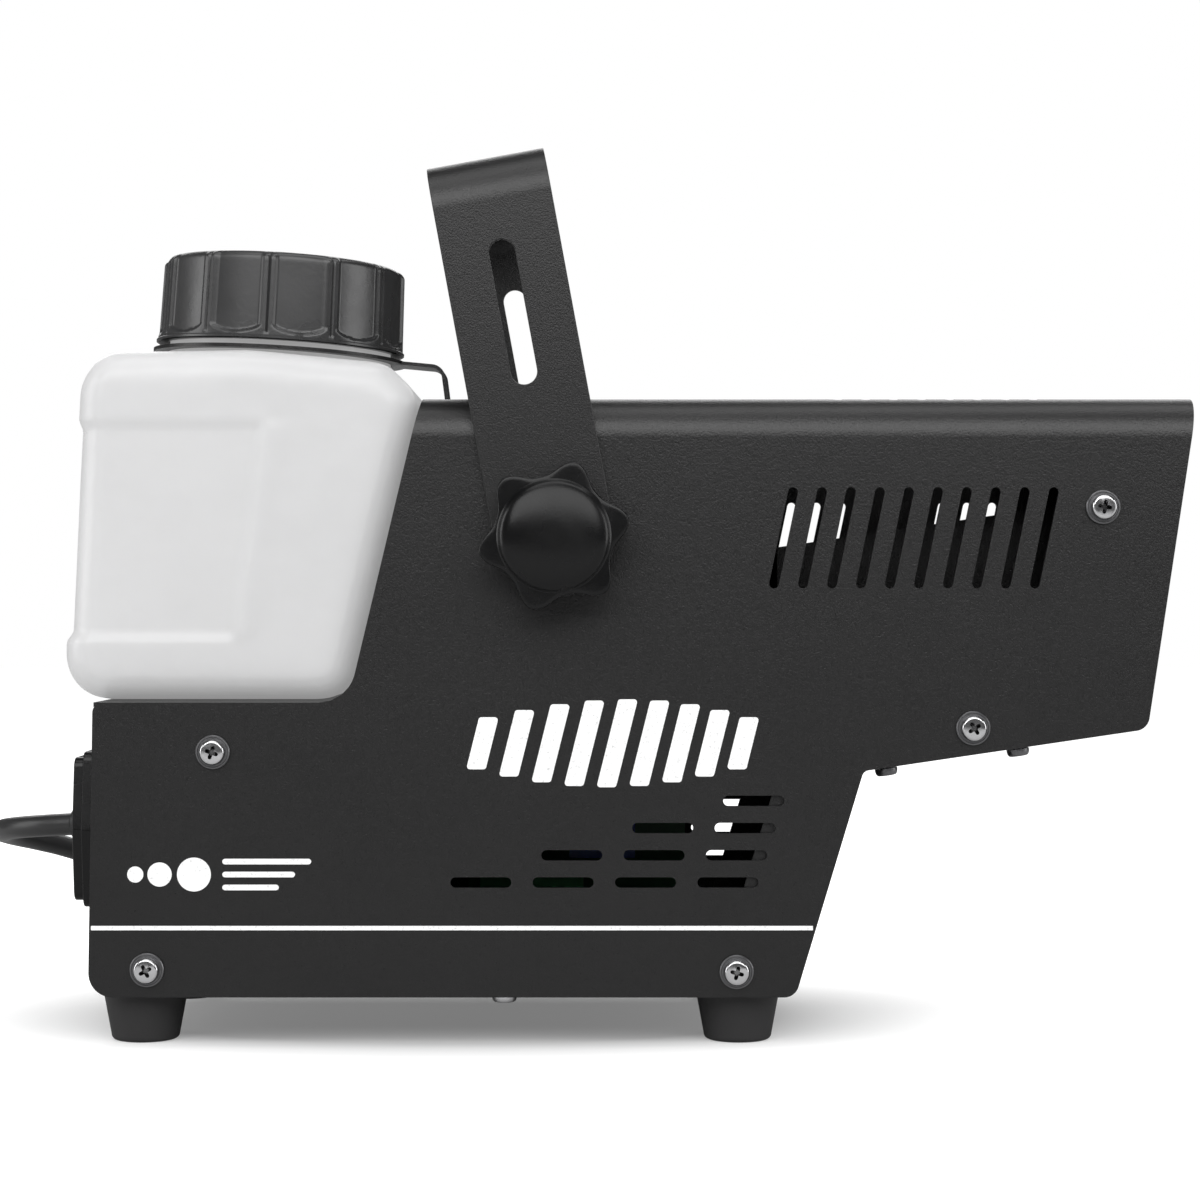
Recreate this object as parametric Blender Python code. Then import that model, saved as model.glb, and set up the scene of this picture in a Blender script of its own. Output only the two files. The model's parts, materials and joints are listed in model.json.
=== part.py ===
"""A small fog machine: a folded steel housing with a fluid bottle on its rear step, a swinging handle
bracket on two star knobs, and the pump, heater and control parts inside.

Metres, +Z up. X runs from the rear panel to the nozzle and Y across. The pieces are placed from the
housing's rear edge at floor level, and an empty moves them all so that the origin is under the middle.
"""

from math import atan2, cos, pi, radians, sin, sqrt, tan

import bmesh
import bpy
from mathutils import Matrix, Vector

# Clearances
GAP = 0.0003
SLIDING_FIT = 0.0003
PAST = 0.002
EASE = 0.0001

# Housing, from the rear edge and from the floor
HOUSING_WIDTH = 0.110
HOUSING_LENGTH = 0.2965
HOUSING_TOP = 0.1739
FOOT_HEIGHT = 0.01335
SEAT_HEIGHT = 0.0921
SEAT_LENGTH = 0.0694
SEAT_FILLET = 0.010
NOSE_HEIGHT = 0.0850
NOSE_LENGTH = 0.0759
REAR_LEAN = 0.0012
WALL_LEAN = radians(13.4)
FRONT_LEAN = radians(8.6)
NOSE_SLOPE = radians(8.4)
NECK_LEAN = radians(16.8)
SHEET = 0.0012
TOP_BEND = 0.011
CORNERS = {"rear_bottom": 0.0065, "rear_top": 0.0027, "neck": 0.004, "inner": 0.002, "nose": 0.004}
FLANGE = 0.014
NECK_FLANGE = 0.0215

# Vents in the sides and the top
SIDE_SLOTS = 10
SIDE_SLOT = (0.0276, 0.0026)
SIDE_SLOT_PITCH = 0.00774
SIDE_SLOT_LEAN = radians(11.7)
SIDE_SLOTS_BACK_FROM_FRONT = 0.0411
SIDE_SLOTS_DOWN_FROM_TOP = 0.0378
TOP_SLOTS = 8
TOP_SLOT = (0.035, 0.0026)
TOP_SLOT_PITCH = 0.00757
TOP_SLOTS_BACK_FROM_FRONT = 0.0424
LOWER_SLOT = (0.0163, 0.0028)
LOWER_SLOT_PITCH = 0.0220
LOWER_ROW_PITCH = 0.00727
LOWER_ROW_SHIFT = 0.0023
LOWER_ROWS = 4
LOWER_SLOTS_X = 0.1709
LOWER_SLOTS_RISE = 0.0307
LOWER_SLOTS_FAR_DROP = 0.0018

# Screws
SCREW_HEAD = 0.0071
SCREW_WASHER = 0.0091
SCREW_SHANK = 0.0034
SCREW_HEAD_HEIGHT = 0.0022
WASHER_THICKNESS = 0.0006
SCREW_HOLE = 0.0042
UNDERSIDE_HOLE = 0.0056

# Feet
FOOT_TOP = 0.0230
FOOT_BOTTOM = 0.0182
FOOT_INSET = 0.0160
FOOT_REAR_X = 0.0128
FOOT_FRONT_FROM_NECK = 0.0146
FOOT_RECESS = 0.0068
FOOT_RECESS_DEPTH = 0.0060

# Handle bracket, in its own upright pose about the pivot
PIVOT_X = 0.1247
PIVOT_DOWN_FROM_TOP = 0.0377
HANDLE_LEAN = radians(10.5)
STRAP_WIDTH = 0.032
STRAP = 0.0020
STRAP_BEND = 0.013
HANDLE_REACH = 0.1045
LEG_GAP = 0.0006
LEG_SLOT = (0.0392, 0.0070)
LEG_SLOT_CENTRE = 0.0610
STUD = 0.0078
STUD_CLEARANCE = 0.0010
STUD_HOLE = STUD + STUD_CLEARANCE

# Star knobs
KNOB = 0.040
KNOB_LOBES = 6
KNOB_LOBE_DEPTH = 0.0042
KNOB_TURN = radians(13)
KNOB_HEIGHT = 0.0165
KNOB_DOME = 0.0288
KNOB_WASHER = 0.0220
KNOB_WASHER_THICKNESS = 0.0015
STUD_LENGTH = 0.0140
NUT_ACROSS = 0.0150
NUT_LENGTH = 0.0065

# Bottle, cap and neck plate
BOTTLE_WIDTH = 0.092
BOTTLE_OVERHANG = 0.0095
BOTTLE_HEIGHT = 0.0956
SHOULDER_FALL = 0.0036
SHOULDER_DROP = 0.0130
BOTTLE_WALL = 0.0018
BOTTLE_EDGE = 0.0080
BOTTLE_WALL_CLEARANCE = 0.0012
NECK_X = 0.0448
NECK_TILT = radians(3.0)
NECK = 0.063
NECK_HEIGHT = 0.0231
NECK_WALL = 0.0022
CAP = 0.070
CAP_HEIGHT = 0.0245
CAP_WALL = 0.0025
CAP_RISE = 0.0033
CAP_FLUTES = 12
CAP_FLUTE_DEPTH = 0.0009
LINER_THICKNESS = 0.0015
NECK_PLATE = 0.0010
NECK_PLATE_RIM = 0.0046
NECK_PLATE_RISE = 0.0007
NECK_TAB_WIDTH = 0.014
NECK_TAB_FORWARD = 0.0040
NECK_TAB_FOOT = 0.0150

# Fluid path
HOSE = 0.0060
OUTLET_RISE = 0.0150
OUTLET_HOLE = 0.0100
FILTER = (0.0120, 0.0180)
PUMP_X = 0.044
PUMP_SIZE = (0.036, 0.032, 0.032)
PUMP_Y = -0.004
PUMP_RISE = 0.0336
PUMP_BORE = 0.0120
PLUNGER = 0.0114
PLUNGER_LENGTH = 0.0200
PLUNGER_TRAVEL = 0.0030
PUMP_WALL = 0.0040
PUMP_CAP = 0.0160
PUMP_CAP_THICKNESS = 0.0050
BARB = 0.0042
BARB_LENGTH = 0.0110
PIPE = 0.0032

# Heater
HEATER_SIZE = (0.078, 0.040, 0.022)
HEATER_RISE_FROM_NOSE = 0.0070
HEATER_BACK_FROM_FRONT = 0.0105
INSULATION = 0.0040
INSULATION_LENGTH = 0.0600
HEATER_COVER = (0.0880, 0.0540, 0.0635)
HEATER_COVER_BACK_FROM_FRONT = 0.0115
HEATER_COVER_FOOT = 0.0046
HEATER_BRACKET = (0.0120, 0.0360, 0.0010)
NOSE_SCREWS_FORWARD = (0.0073, 0.0431)
NOSE_SCREW_INSET = 0.0130
NOZZLE_HEX = 0.0140
NOZZLE_TIP = 0.0090
NOZZLE_BORE = 0.0024
NOZZLE_HOLE = 0.0180

# Control parts
BOARD = (0.0640, 0.0016, 0.0600)
BOARD_X = 0.0980
BOARD_Y = 0.0200
RELAY = (0.0190, 0.0155, 0.0160)
TERMINALS = (0.0300, 0.0120, 0.0110)
SHIELD = (0.0300, 0.0500)

# Rear panel
SOCKET_Y = -0.0270
SOCKET_RISE = 0.0434
SOCKET_FLANGE = (0.0300, 0.0426, 0.0045)
SOCKET_BEZEL = (0.0260, 0.0393, 0.0028)
SOCKET_RECESS = (0.0180, 0.0250, 0.0120)
SOCKET_BODY_DEPTH = 0.0160
RELIEF_Y = 0.0285
RELIEF_RISE = 0.0398
RELIEF_HOLE = 0.0130
CORD = 0.0067

# The cord's route beyond the strain relief, from the rear edge, the middle and the floor
RELIEF_ROUTE = [
    (0.0080, 0.0285, 0.0532),
    (-0.0040, 0.0285, 0.0531),
    (-0.0120, 0.0290, 0.0529),
    (-0.0205, 0.0304, 0.0525),
]
CORD_ROUTE = [
    (-0.0208, 0.0305, 0.0525),
    (-0.0290, 0.0326, 0.0519),
    (-0.0366, 0.0366, 0.0511),
    (-0.0426, 0.0427, 0.0501),
    (-0.0463, 0.0504, 0.0489),
    (-0.0476, 0.0590, 0.0475),
    (-0.0462, 0.0676, 0.0459),
    (-0.0421, 0.0753, 0.0440),
    (-0.0358, 0.0813, 0.0417),
    (-0.0279, 0.0853, 0.0387),
    (-0.0190, 0.0872, 0.0347),
    (-0.0100, 0.0873, 0.0298),
    (-0.0010, 0.0863, 0.0243),
    (0.0090, 0.0848, 0.0182),
    (0.0200, 0.0831, 0.0122),
    (0.0320, 0.0815, 0.0073),
    (0.0450, 0.0803, 0.0044),
    (0.0570, 0.0797, 0.0036),
    (0.0680, 0.0795, 0.0035),
    (0.0792, 0.0795, 0.0035),
]
COIL_TURNS_ACROSS = 2
COIL_TURNS_HIGH = 3
COIL_PITCH = 0.0068
COIL_MIDDLE = 0.0383
COIL_CENTRE = (0.1040, 0.1212)
PLUG_FACE = 0.0370
PLUG_TAIL = 0.0097
PLUG_LENGTH = 0.0400
PLUG_PIN = (0.0048, 0.0190, 0.0190)

# What follows from those sizes
ORIGIN_X = (HOUSING_LENGTH - BOTTLE_OVERHANG) / 2
HALF_WIDTH = HOUSING_WIDTH / 2
INSIDE_Y = HALF_WIDTH - SHEET - GAP
PIVOT_Z = HOUSING_TOP - PIVOT_DOWN_FROM_TOP
NOSE_BACK_X = HOUSING_LENGTH - (HOUSING_TOP - NOSE_HEIGHT) * tan(FRONT_LEAN) - NOSE_LENGTH
NOSE_BACK_Z = NOSE_HEIGHT - NOSE_LENGTH * tan(NOSE_SLOPE)
NECK_FOOT_X = NOSE_BACK_X - (NOSE_BACK_Z - FOOT_HEIGHT) * tan(NECK_LEAN)
HANDLE_INNER_Y = HALF_WIDTH + LEG_GAP
HANDLE_OUTER_Y = HANDLE_INNER_Y + STRAP
SHOULDER_Z = SEAT_HEIGHT + GAP + BOTTLE_HEIGHT


def wall_x(z):
    """Where the slanted wall behind the bottle stands at height z."""
    return SEAT_LENGTH + (z - SEAT_HEIGHT) * tan(WALL_LEAN)


def front_x(z):
    """Where the leaning front edge stands at height z."""
    return HOUSING_LENGTH - (HOUSING_TOP - z) * tan(FRONT_LEAN)


def nose_z(x):
    """The height of the nose's underside at x."""
    return NOSE_BACK_Z + (x - NOSE_BACK_X) * tan(NOSE_SLOPE)


def along_neck(share):
    """A point on the neck's slant, from its foot at 0 to its top at 1."""
    x = NECK_FOOT_X + share * (NOSE_BACK_X - NECK_FOOT_X)
    return x, FOOT_HEIGHT + share * (NOSE_BACK_Z - FOOT_HEIGHT)


# Building


def finish(name, colour, roughness, metallic=0.0, alpha=1.0):
    """A Principled material."""
    material = bpy.data.materials.new(name)
    material.use_nodes = True
    shader = material.node_tree.nodes["Principled BSDF"]
    shader.inputs["Base Color"].default_value = (*colour, 1.0)
    shader.inputs["Roughness"].default_value = roughness
    shader.inputs["Metallic"].default_value = metallic
    shader.inputs["Alpha"].default_value = alpha
    return material


def solid(name, mesh, colour=None, at=(0, 0, 0), turn=(0, 0, 0), smooth=False):
    """An object made of a bmesh, placed from the housing's rear edge."""
    bmesh.ops.recalc_face_normals(mesh, faces=mesh.faces)
    data = bpy.data.meshes.new(name)
    mesh.to_mesh(data)
    mesh.free()
    if smooth:
        data.shade_smooth()
        data.set_sharp_from_angle(angle=radians(35))
    made = bpy.data.objects.new(name, data)
    bpy.context.scene.collection.objects.link(made)
    made.parent = rear_edge
    made.location = at
    made.rotation_euler = turn
    if colour:
        data.materials.append(colour)
    return made


def rounded(corners, steps=4, closed=True):
    """The outline through corners (a, b, radius), each rounded by an arc of its radius."""
    outline = []
    for i, (a, b, radius) in enumerate(corners):
        here = Vector((a, b))
        at_end = not closed and i in (0, len(corners) - 1)
        if radius <= 0 or at_end:
            outline.append((a, b))
            continue
        before = (Vector(corners[i - 1][:2]) - here).normalized()
        after = (Vector(corners[(i + 1) % len(corners)][:2]) - here).normalized()
        half = before.angle(after) / 2
        centre = here + (before + after).normalized() * (radius / sin(half))
        first = here + before * (radius / tan(half)) - centre
        last = here + after * (radius / tan(half)) - centre
        sweep = atan2(first.x * last.y - first.y * last.x, first.dot(last))
        for k in range(steps + 1):
            point = centre + Matrix.Rotation(sweep * k / steps, 2) @ first
            outline.append(tuple(point))
    return outline


def beside(path, distance):
    """The open path moved sideways to its left by a distance, with mitred corners."""
    points = [Vector(p) for p in path]
    moved = []
    for i, point in enumerate(points):
        sides = []
        if i > 0:
            sides.append((point - points[i - 1]).normalized())
        if i < len(points) - 1:
            sides.append((points[i + 1] - point).normalized())
        normals = [Vector((-side.y, side.x)) for side in sides]
        mean = sum(normals, Vector((0, 0))).normalized()
        moved.append(tuple(point + mean * (distance / mean.dot(normals[0]))))
    return moved


def band(corners, thickness, steps=4):
    """The outline of a bent sheet whose right side follows the corners."""
    path = rounded(corners, steps, closed=False)
    return path + beside(path, thickness)[::-1]


def flange_band(corners, depth):
    """The outline of a flange that starts inside the bent sheet and stands depth in from its face."""
    path = rounded(corners, closed=False)
    return beside(path, SHEET / 2) + beside([(a, b) for a, b, _ in corners], depth)[::-1]


def both_sides(name, outline):
    """Two flanges of the outline, one against each side of the cover."""
    near = prism(f"{name}_near", outline, -INSIDE_Y + EASE, -INSIDE_Y + SHEET)
    far = prism(f"{name}_far", outline, INSIDE_Y - SHEET, INSIDE_Y - EASE)
    return near, far


def along(axis, a, b, t):
    """A point with outline coordinates a and b, at t along the axis that the outline faces."""
    return {"X": (t, a, b), "Y": (a, t, b), "Z": (a, b, t)}[axis]


def add_prism(mesh, outline, low, high, axis="Y"):
    """Adds a straight solid of the outline between two planes."""
    near = [mesh.verts.new(along(axis, a, b, low)) for a, b in outline]
    far = [mesh.verts.new(along(axis, a, b, high)) for a, b in outline]
    mesh.faces.new(near)
    mesh.faces.new(far[::-1])
    for i in range(len(outline)):
        mesh.faces.new((near[i - 1], far[i - 1], far[i], near[i]))


def prism(name, outline, low, high, colour=None, axis="Y", **place):
    """A straight solid of the outline between two planes."""
    mesh = bmesh.new()
    add_prism(mesh, outline, low, high, axis)
    return solid(name, mesh, colour, **place)


def block(name, low, high, colour=None, **place):
    """A box between two corners."""
    outline = [(low[0], low[2]), (high[0], low[2]), (high[0], high[2]), (low[0], high[2])]
    return prism(name, outline, low[1], high[1], colour, **place)


def loft(name, rings, colour=None, closed=False, **place):
    """A solid skinned over rings of points, closed by flat ends or, if closed, joined round."""
    mesh = bmesh.new()
    made = [[mesh.verts.new(point) for point in ring] for ring in rings]
    count = len(made[0])
    pairs = list(zip(made, made[1:]))
    if closed:
        pairs.append((made[-1], made[0]))
    else:
        mesh.faces.new(made[0])
        mesh.faces.new(made[-1][::-1])
    for low, high in pairs:
        for i in range(count):
            mesh.faces.new((low[i - 1], low[i], high[i], high[i - 1]))
    return solid(name, mesh, colour, smooth=True, **place)


def circle(radius, height, sides=20):
    """A ring of points about Z."""
    angles = [2 * pi * i / sides for i in range(sides)]
    return [(radius * cos(angle), radius * sin(angle), height) for angle in angles]


def turned(name, profile, colour=None, sides=20, closed=False, **place):
    """A round solid about Z from a profile of (diameter, height)."""
    rings = [circle(diameter / 2, height, sides) for diameter, height in profile]
    return loft(name, rings, colour, closed, **place)


def capsule(length, width, steps=3):
    """The outline of a slot with round ends, lying along its first axis."""
    reach = (length - width) / 2
    ends = []
    for side, start in ((1, -pi / 2), (-1, pi / 2)):
        for k in range(steps + 1):
            angle = start + pi * k / steps
            ends.append((side * reach + width / 2 * cos(angle), width / 2 * sin(angle)))
    return ends


def slots(name, centres, size, lean, low, high, axis="Y"):
    """A cutter of equal slots. Lean turns their length up from the first axis."""
    mesh = bmesh.new()
    for a, b in centres:
        outline = []
        for u, v in capsule(*size):
            outline.append((a + u * cos(lean) - v * sin(lean), b + u * sin(lean) + v * cos(lean)))
        add_prism(mesh, outline, low, high, axis)
    return solid(name, mesh)


def round_holes(name, centres, diameter, low, high, axis="Y", sides=10):
    """A cutter of equal round holes."""
    mesh = bmesh.new()
    for a, b in centres:
        outline = [(a + u, b + v) for u, v, _ in circle(diameter / 2, 0, sides)]
        add_prism(mesh, outline, low, high, axis)
    return solid(name, mesh)


def combine(target, operation, *others):
    """Adds Boolean modifiers to the target, and turns the other solids into helpers."""
    for other in others:
        other.hide_render = True
        other.display_type = "WIRE"
        modifier = target.modifiers.new(other.name, "BOOLEAN")
        modifier.operation = operation
        modifier.object = other
    return target


def smooth_points(route, spacing):
    """Points about spacing apart on one smooth curve through the route."""
    stations = [Vector(p) for p in route]
    padded = [2 * stations[0] - stations[1], *stations, 2 * stations[-1] - stations[-2]]
    fine = []
    for a, b, c, d in zip(padded, padded[1:], padded[2:], padded[3:]):
        pieces = max(1, round((c - b).length / spacing))
        for k in range(pieces):
            t = k / pieces
            bend = (2 * a - 5 * b + 4 * c - d) * t * t + (3 * b - a - 3 * c + d) * t**3
            fine.append((2 * b + (c - a) * t + bend) / 2)
    fine.append(stations[-1])
    return fine


def pipe(name, route, diameter, colour, spacing=0.008, resolution=2):
    """A round pipe along a smooth route."""
    curve = bpy.data.curves.new(name, "CURVE")
    curve.dimensions = "3D"
    curve.bevel_depth = diameter / 2
    curve.bevel_resolution = resolution
    curve.use_fill_caps = True
    points = smooth_points(route, spacing)
    spline = curve.splines.new("POLY")
    spline.points.add(len(points) - 1)
    for point, place in zip(spline.points, points):
        point.co = (*place, 1.0)
    curve.materials.append(colour)
    made = bpy.data.objects.new(name, curve)
    bpy.context.scene.collection.objects.link(made)
    made.parent = rear_edge
    return made


def pivot(name, at, turn=(0, 0, 0)):
    """An empty on a joint's axis."""
    empty = bpy.data.objects.new(name, None)
    bpy.context.scene.collection.objects.link(empty)
    empty.parent = rear_edge
    empty.location = at
    empty.rotation_euler = turn
    return empty


# The folded steel housing


def side_corners(top=HOUSING_TOP):
    """The side's outline, from the rear edge's foot along the bottom and round."""
    return [
        (0.0, FOOT_HEIGHT, CORNERS["rear_bottom"]),
        (NECK_FOOT_X, FOOT_HEIGHT, CORNERS["neck"]),
        (NOSE_BACK_X, NOSE_BACK_Z, CORNERS["inner"]),
        (front_x(NOSE_HEIGHT), NOSE_HEIGHT, CORNERS["nose"]),
        (front_x(top), top, 0),
        (wall_x(top), top, 0),
        (SEAT_LENGTH, SEAT_HEIGHT, SEAT_FILLET),
        (REAR_LEAN, SEAT_HEIGHT, CORNERS["rear_top"]),
    ]


def screw_places():
    """Where the screws go through each side, as (x, z)."""
    return {
        "seat": (0.0334, SEAT_HEIGHT - 0.0132),
        "rear": (0.0158, FOOT_HEIGHT + 0.0074),
        "neck": (NECK_FOOT_X - 0.0157, FOOT_HEIGHT + 0.0069),
        "nose": (NOSE_BACK_X + 0.0292, nose_z(NOSE_BACK_X + 0.0292) + 0.0072),
        "front": (front_x(HOUSING_TOP - 0.0296) - 0.0210, HOUSING_TOP - 0.0296),
    }


def cross_section(inset, bottom):
    """The housing's section across X, moved inward by inset."""
    return rounded(
        [
            (-HALF_WIDTH + inset, bottom, 0),
            (HALF_WIDTH - inset, bottom, 0),
            (HALF_WIDTH - inset, HOUSING_TOP - inset, TOP_BEND - inset),
            (-HALF_WIDTH + inset, HOUSING_TOP - inset, TOP_BEND - inset),
        ]
    )


def inside_section():
    """The room that the cover leaves for the sheets inside it."""
    reach = (-BOTTLE_OVERHANG, HOUSING_LENGTH + PAST)
    return prism("inside_section", cross_section(SHEET + GAP, FOOT_HEIGHT - PAST), *reach, axis="X")


def vent_cutters():
    """The slots through both sides and the two rows in the top."""
    first = HOUSING_LENGTH - SIDE_SLOTS_BACK_FROM_FRONT
    height = HOUSING_TOP - SIDE_SLOTS_DOWN_FROM_TOP
    upper = [(first - i * SIDE_SLOT_PITCH, height) for i in range(SIDE_SLOTS)]
    lower = {"near": [], "far": []}
    for row in range(LOWER_ROWS):
        rise = FOOT_HEIGHT + LOWER_SLOTS_RISE + row * LOWER_ROW_PITCH
        for i in range(LOWER_ROWS - row):
            x = LOWER_SLOTS_X + row * LOWER_ROW_SHIFT - i * LOWER_SLOT_PITCH
            lower["near"].append((x, rise))
            lower["far"].append((x, rise - LOWER_SLOTS_FAR_DROP))
    across = (-HALF_WIDTH - PAST, HALF_WIDTH + PAST)
    front = HOUSING_LENGTH - TOP_SLOTS_BACK_FROM_FRONT
    reach = HALF_WIDTH - TOP_BEND + 0.0026 - TOP_SLOT[0] / 2
    top = [(front - i * TOP_SLOT_PITCH, side * reach) for i in range(TOP_SLOTS) for side in (-1, 1)]
    down = (HOUSING_TOP - TOP_BEND, HOUSING_TOP + PAST)
    return [
        slots("side_vent_cutter", upper, SIDE_SLOT, pi / 2 - SIDE_SLOT_LEAN, *across),
        slots("near_vent_cutter", lower["near"], LOWER_SLOT, 0, across[0], 0),
        slots("far_vent_cutter", lower["far"], LOWER_SLOT, 0, 0, across[1]),
        slots("top_vent_cutter", top, TOP_SLOT, pi / 2, *down, axis="Z"),
    ]


def make_housing():
    """The cover, the chassis tray, the bottle seat and the front panel."""
    across = (-HALF_WIDTH - PAST, HALF_WIDTH + PAST)
    lengthwise = (-PAST, HOUSING_LENGTH + PAST)
    screws = round_holes("side_screw_holes", screw_places().values(), SCREW_HOLE, *across)
    section = inside_section()

    hollow = cross_section(SHEET, FOOT_HEIGHT - 2 * PAST)
    cover = prism("cover_shell", cross_section(0, FOOT_HEIGHT - PAST), *lengthwise, black_paint, "X")
    inside = prism("cover_hollow", hollow, -2 * PAST, HOUSING_LENGTH + 2 * PAST, axis="X")
    side = prism("side_outline", rounded(side_corners(HOUSING_TOP + PAST)), *across)
    pivots = round_holes("pivot_holes", [(PIVOT_X, PIVOT_Z)], STUD_HOLE, *across)
    combine(cover, "INTERSECT", side)
    combine(cover, "DIFFERENCE", inside, *vent_cutters(), pivots, screws)

    under = side_corners()[:4]
    rear_top = (REAR_LEAN, SEAT_HEIGHT - SHEET - GAP, 0)
    nose_end = front_x(NOSE_HEIGHT) - SHEET / cos(FRONT_LEAN) - 2 * GAP
    path = [rear_top, *under[:3], (nose_end, nose_z(nose_end), 0)]
    tray = prism("chassis_tray", band(path, SHEET), -INSIDE_Y, INSIDE_Y, black_paint)
    start = (FOOT_REAR_X - 0.006, FOOT_HEIGHT, 0)
    end = (nose_end - SHEET, nose_z(nose_end - SHEET), 0)
    combine(tray, "UNION", *both_sides("tray_flange", flange_band([start, *path[2:4], end], FLANGE)))
    neck = [(x, z, 0) for x, z in (along_neck(0.06), along_neck(0.97))]
    combine(tray, "UNION", *both_sides("neck_flange", flange_band(neck, NECK_FLANGE)))
    socket = six_sided(SOCKET_BEZEL[0], SOCKET_BEZEL[1] - 0.004)
    socket_hole = prism("socket_hole", socket, -0.010, 0.010, axis="X", at=(0, SOCKET_Y, socket_z()))
    relief = [(RELIEF_Y, FOOT_HEIGHT + RELIEF_RISE)]
    relief_hole = round_holes("relief_hole", relief, RELIEF_HOLE, -0.010, 0.012, "X", 16)
    below = round_holes("underside_holes", underside_places(), UNDERSIDE_HOLE, 0.001, 0.110, "Z")
    combine(tray, "DIFFERENCE", socket_hole, relief_hole, screws, below)

    top = HOUSING_TOP - SHEET - GAP
    seat_path = [(REAR_LEAN, SEAT_HEIGHT, 0), (SEAT_LENGTH, SEAT_HEIGHT, SEAT_FILLET), (wall_x(top), top, 0)]
    turned_path = [(a, b, r) for a, b, r in seat_path[::-1]]
    seat = prism("bottle_seat", band(turned_path, SHEET), -INSIDE_Y, INSIDE_Y, black_paint)
    seat_x, seat_z = screw_places()["seat"]
    tab = rounded(
        [
            (seat_x - 0.012, seat_z - 0.008, 0.003),
            (seat_x + 0.020, seat_z - 0.008, 0.003),
            (seat_x + 0.020, SEAT_HEIGHT - SHEET / 2, 0),
            (seat_x - 0.012, SEAT_HEIGHT - SHEET / 2, 0),
        ]
    )
    combine(seat, "UNION", *both_sides("seat_tab", tab))
    combine(seat, "INTERSECT", section)
    combine(seat, "DIFFERENCE", screws, outlet_cutter("seat_outlet_hole"))

    low_z = nose_z(front_x(NOSE_HEIGHT)) + SHEET
    face = [(front_x(low_z), low_z, 0), (front_x(top), top, 0)]
    front = prism("front_panel", band(face, SHEET), -INSIDE_Y, INSIDE_Y, black_paint)
    front_screw_z = screw_places()["front"][1]
    lug = []
    for z, back in ((front_screw_z - 0.016, 0), (front_screw_z + 0.016, 0), (front_screw_z + 0.016, 1)):
        lug.append((front_x(z) - back * 0.026 - (1 - back) * SHEET / 2, z))
    lug.append((front_x(front_screw_z - 0.016) - 0.026, front_screw_z - 0.016))
    combine(front, "UNION", *both_sides("front_lug", lug))
    combine(front, "INTERSECT", section)
    nozzle = round_holes("nozzle_hole", [(0, nozzle_z())], NOZZLE_HOLE, 0.26, 0.31, "X", 24)
    combine(front, "DIFFERENCE", screws, nozzle)


def six_sided(width, height):
    """A tall six-sided outline, widest at mid-height."""
    return rounded(
        [
            (-width / 2, 0, 0.002),
            (-width / 2 * 0.78, -height / 2, 0.003),
            (width / 2 * 0.78, -height / 2, 0.003),
            (width / 2, 0, 0.002),
            (width / 2 * 0.78, height / 2, 0.003),
            (-width / 2 * 0.78, height / 2, 0.003),
        ],
        steps=2,
    )


def underside_places():
    """Where screws go up through the tray, as (x, y)."""
    y = HALF_WIDTH - NOSE_SCREW_INSET
    nose = [(NOSE_BACK_X + forward, side * y) for forward in NOSE_SCREWS_FORWARD for side in (-1, 1)]
    return [*nose, (pump_screw_x(), -y)]


def make_feet():
    """Four rubber feet, each a tapered button with a recess for its screw."""
    profile = [
        (FOOT_RECESS, FOOT_RECESS_DEPTH),
        (FOOT_RECESS, 0.0),
        (FOOT_BOTTOM - 0.0010, 0.0),
        (FOOT_BOTTOM, 0.0006),
        (FOOT_TOP, FOOT_HEIGHT - GAP),
    ]
    y = HALF_WIDTH - FOOT_INSET
    for end, x in (("rear", FOOT_REAR_X), ("front", NECK_FOOT_X - FOOT_FRONT_FROM_NECK)):
        for side_name, side in (("near", -1), ("far", 1)):
            turned(f"foot_{end}_{side_name}", profile, rubber, at=(x, side * y, 0))


def screw_profile(head, washer, shank_length):
    """A pan-head screw with its washer, its seat at height 0 and its shank pointing down."""
    return [
        (SCREW_SHANK, -shank_length),
        (SCREW_SHANK, 0),
        (washer, 0),
        (washer, WASHER_THICKNESS),
        (head, WASHER_THICKNESS),
        (head * 0.8, WASHER_THICKNESS + SCREW_HEAD_HEIGHT),
    ]


def make_screws():
    """The cover's screws on both sides, and those under the tray."""
    profile = screw_profile(SCREW_HEAD, SCREW_WASHER, 0.0060)
    for side_name, side in (("near", -1), ("far", 1)):
        for place, (x, z) in screw_places().items():
            at = (x, side * (HALF_WIDTH + GAP), z)
            turned(f"screw_{place}_{side_name}", profile, chrome, 10, at=at, turn=(-side * pi / 2, 0, 0))
    nose = screw_profile(0.0090, 0.0092, 0.0052)
    for i, (x, y) in enumerate(underside_places()[:4]):
        name = ("rear", "front")[i // 2] + "_" + ("near", "far")[i % 2]
        down = (0, pi - NOSE_SLOPE, 0)
        turned(f"nose_screw_{name}", nose, black_steel, 10, at=(x, y, nose_z(x) - 2 * GAP), turn=down)
    x, y = underside_places()[4]
    turned("tray_screw", profile, chrome, 10, at=(x, y, FOOT_HEIGHT - GAP), turn=(0, pi, 0))


# The handle bracket and its knobs


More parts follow.
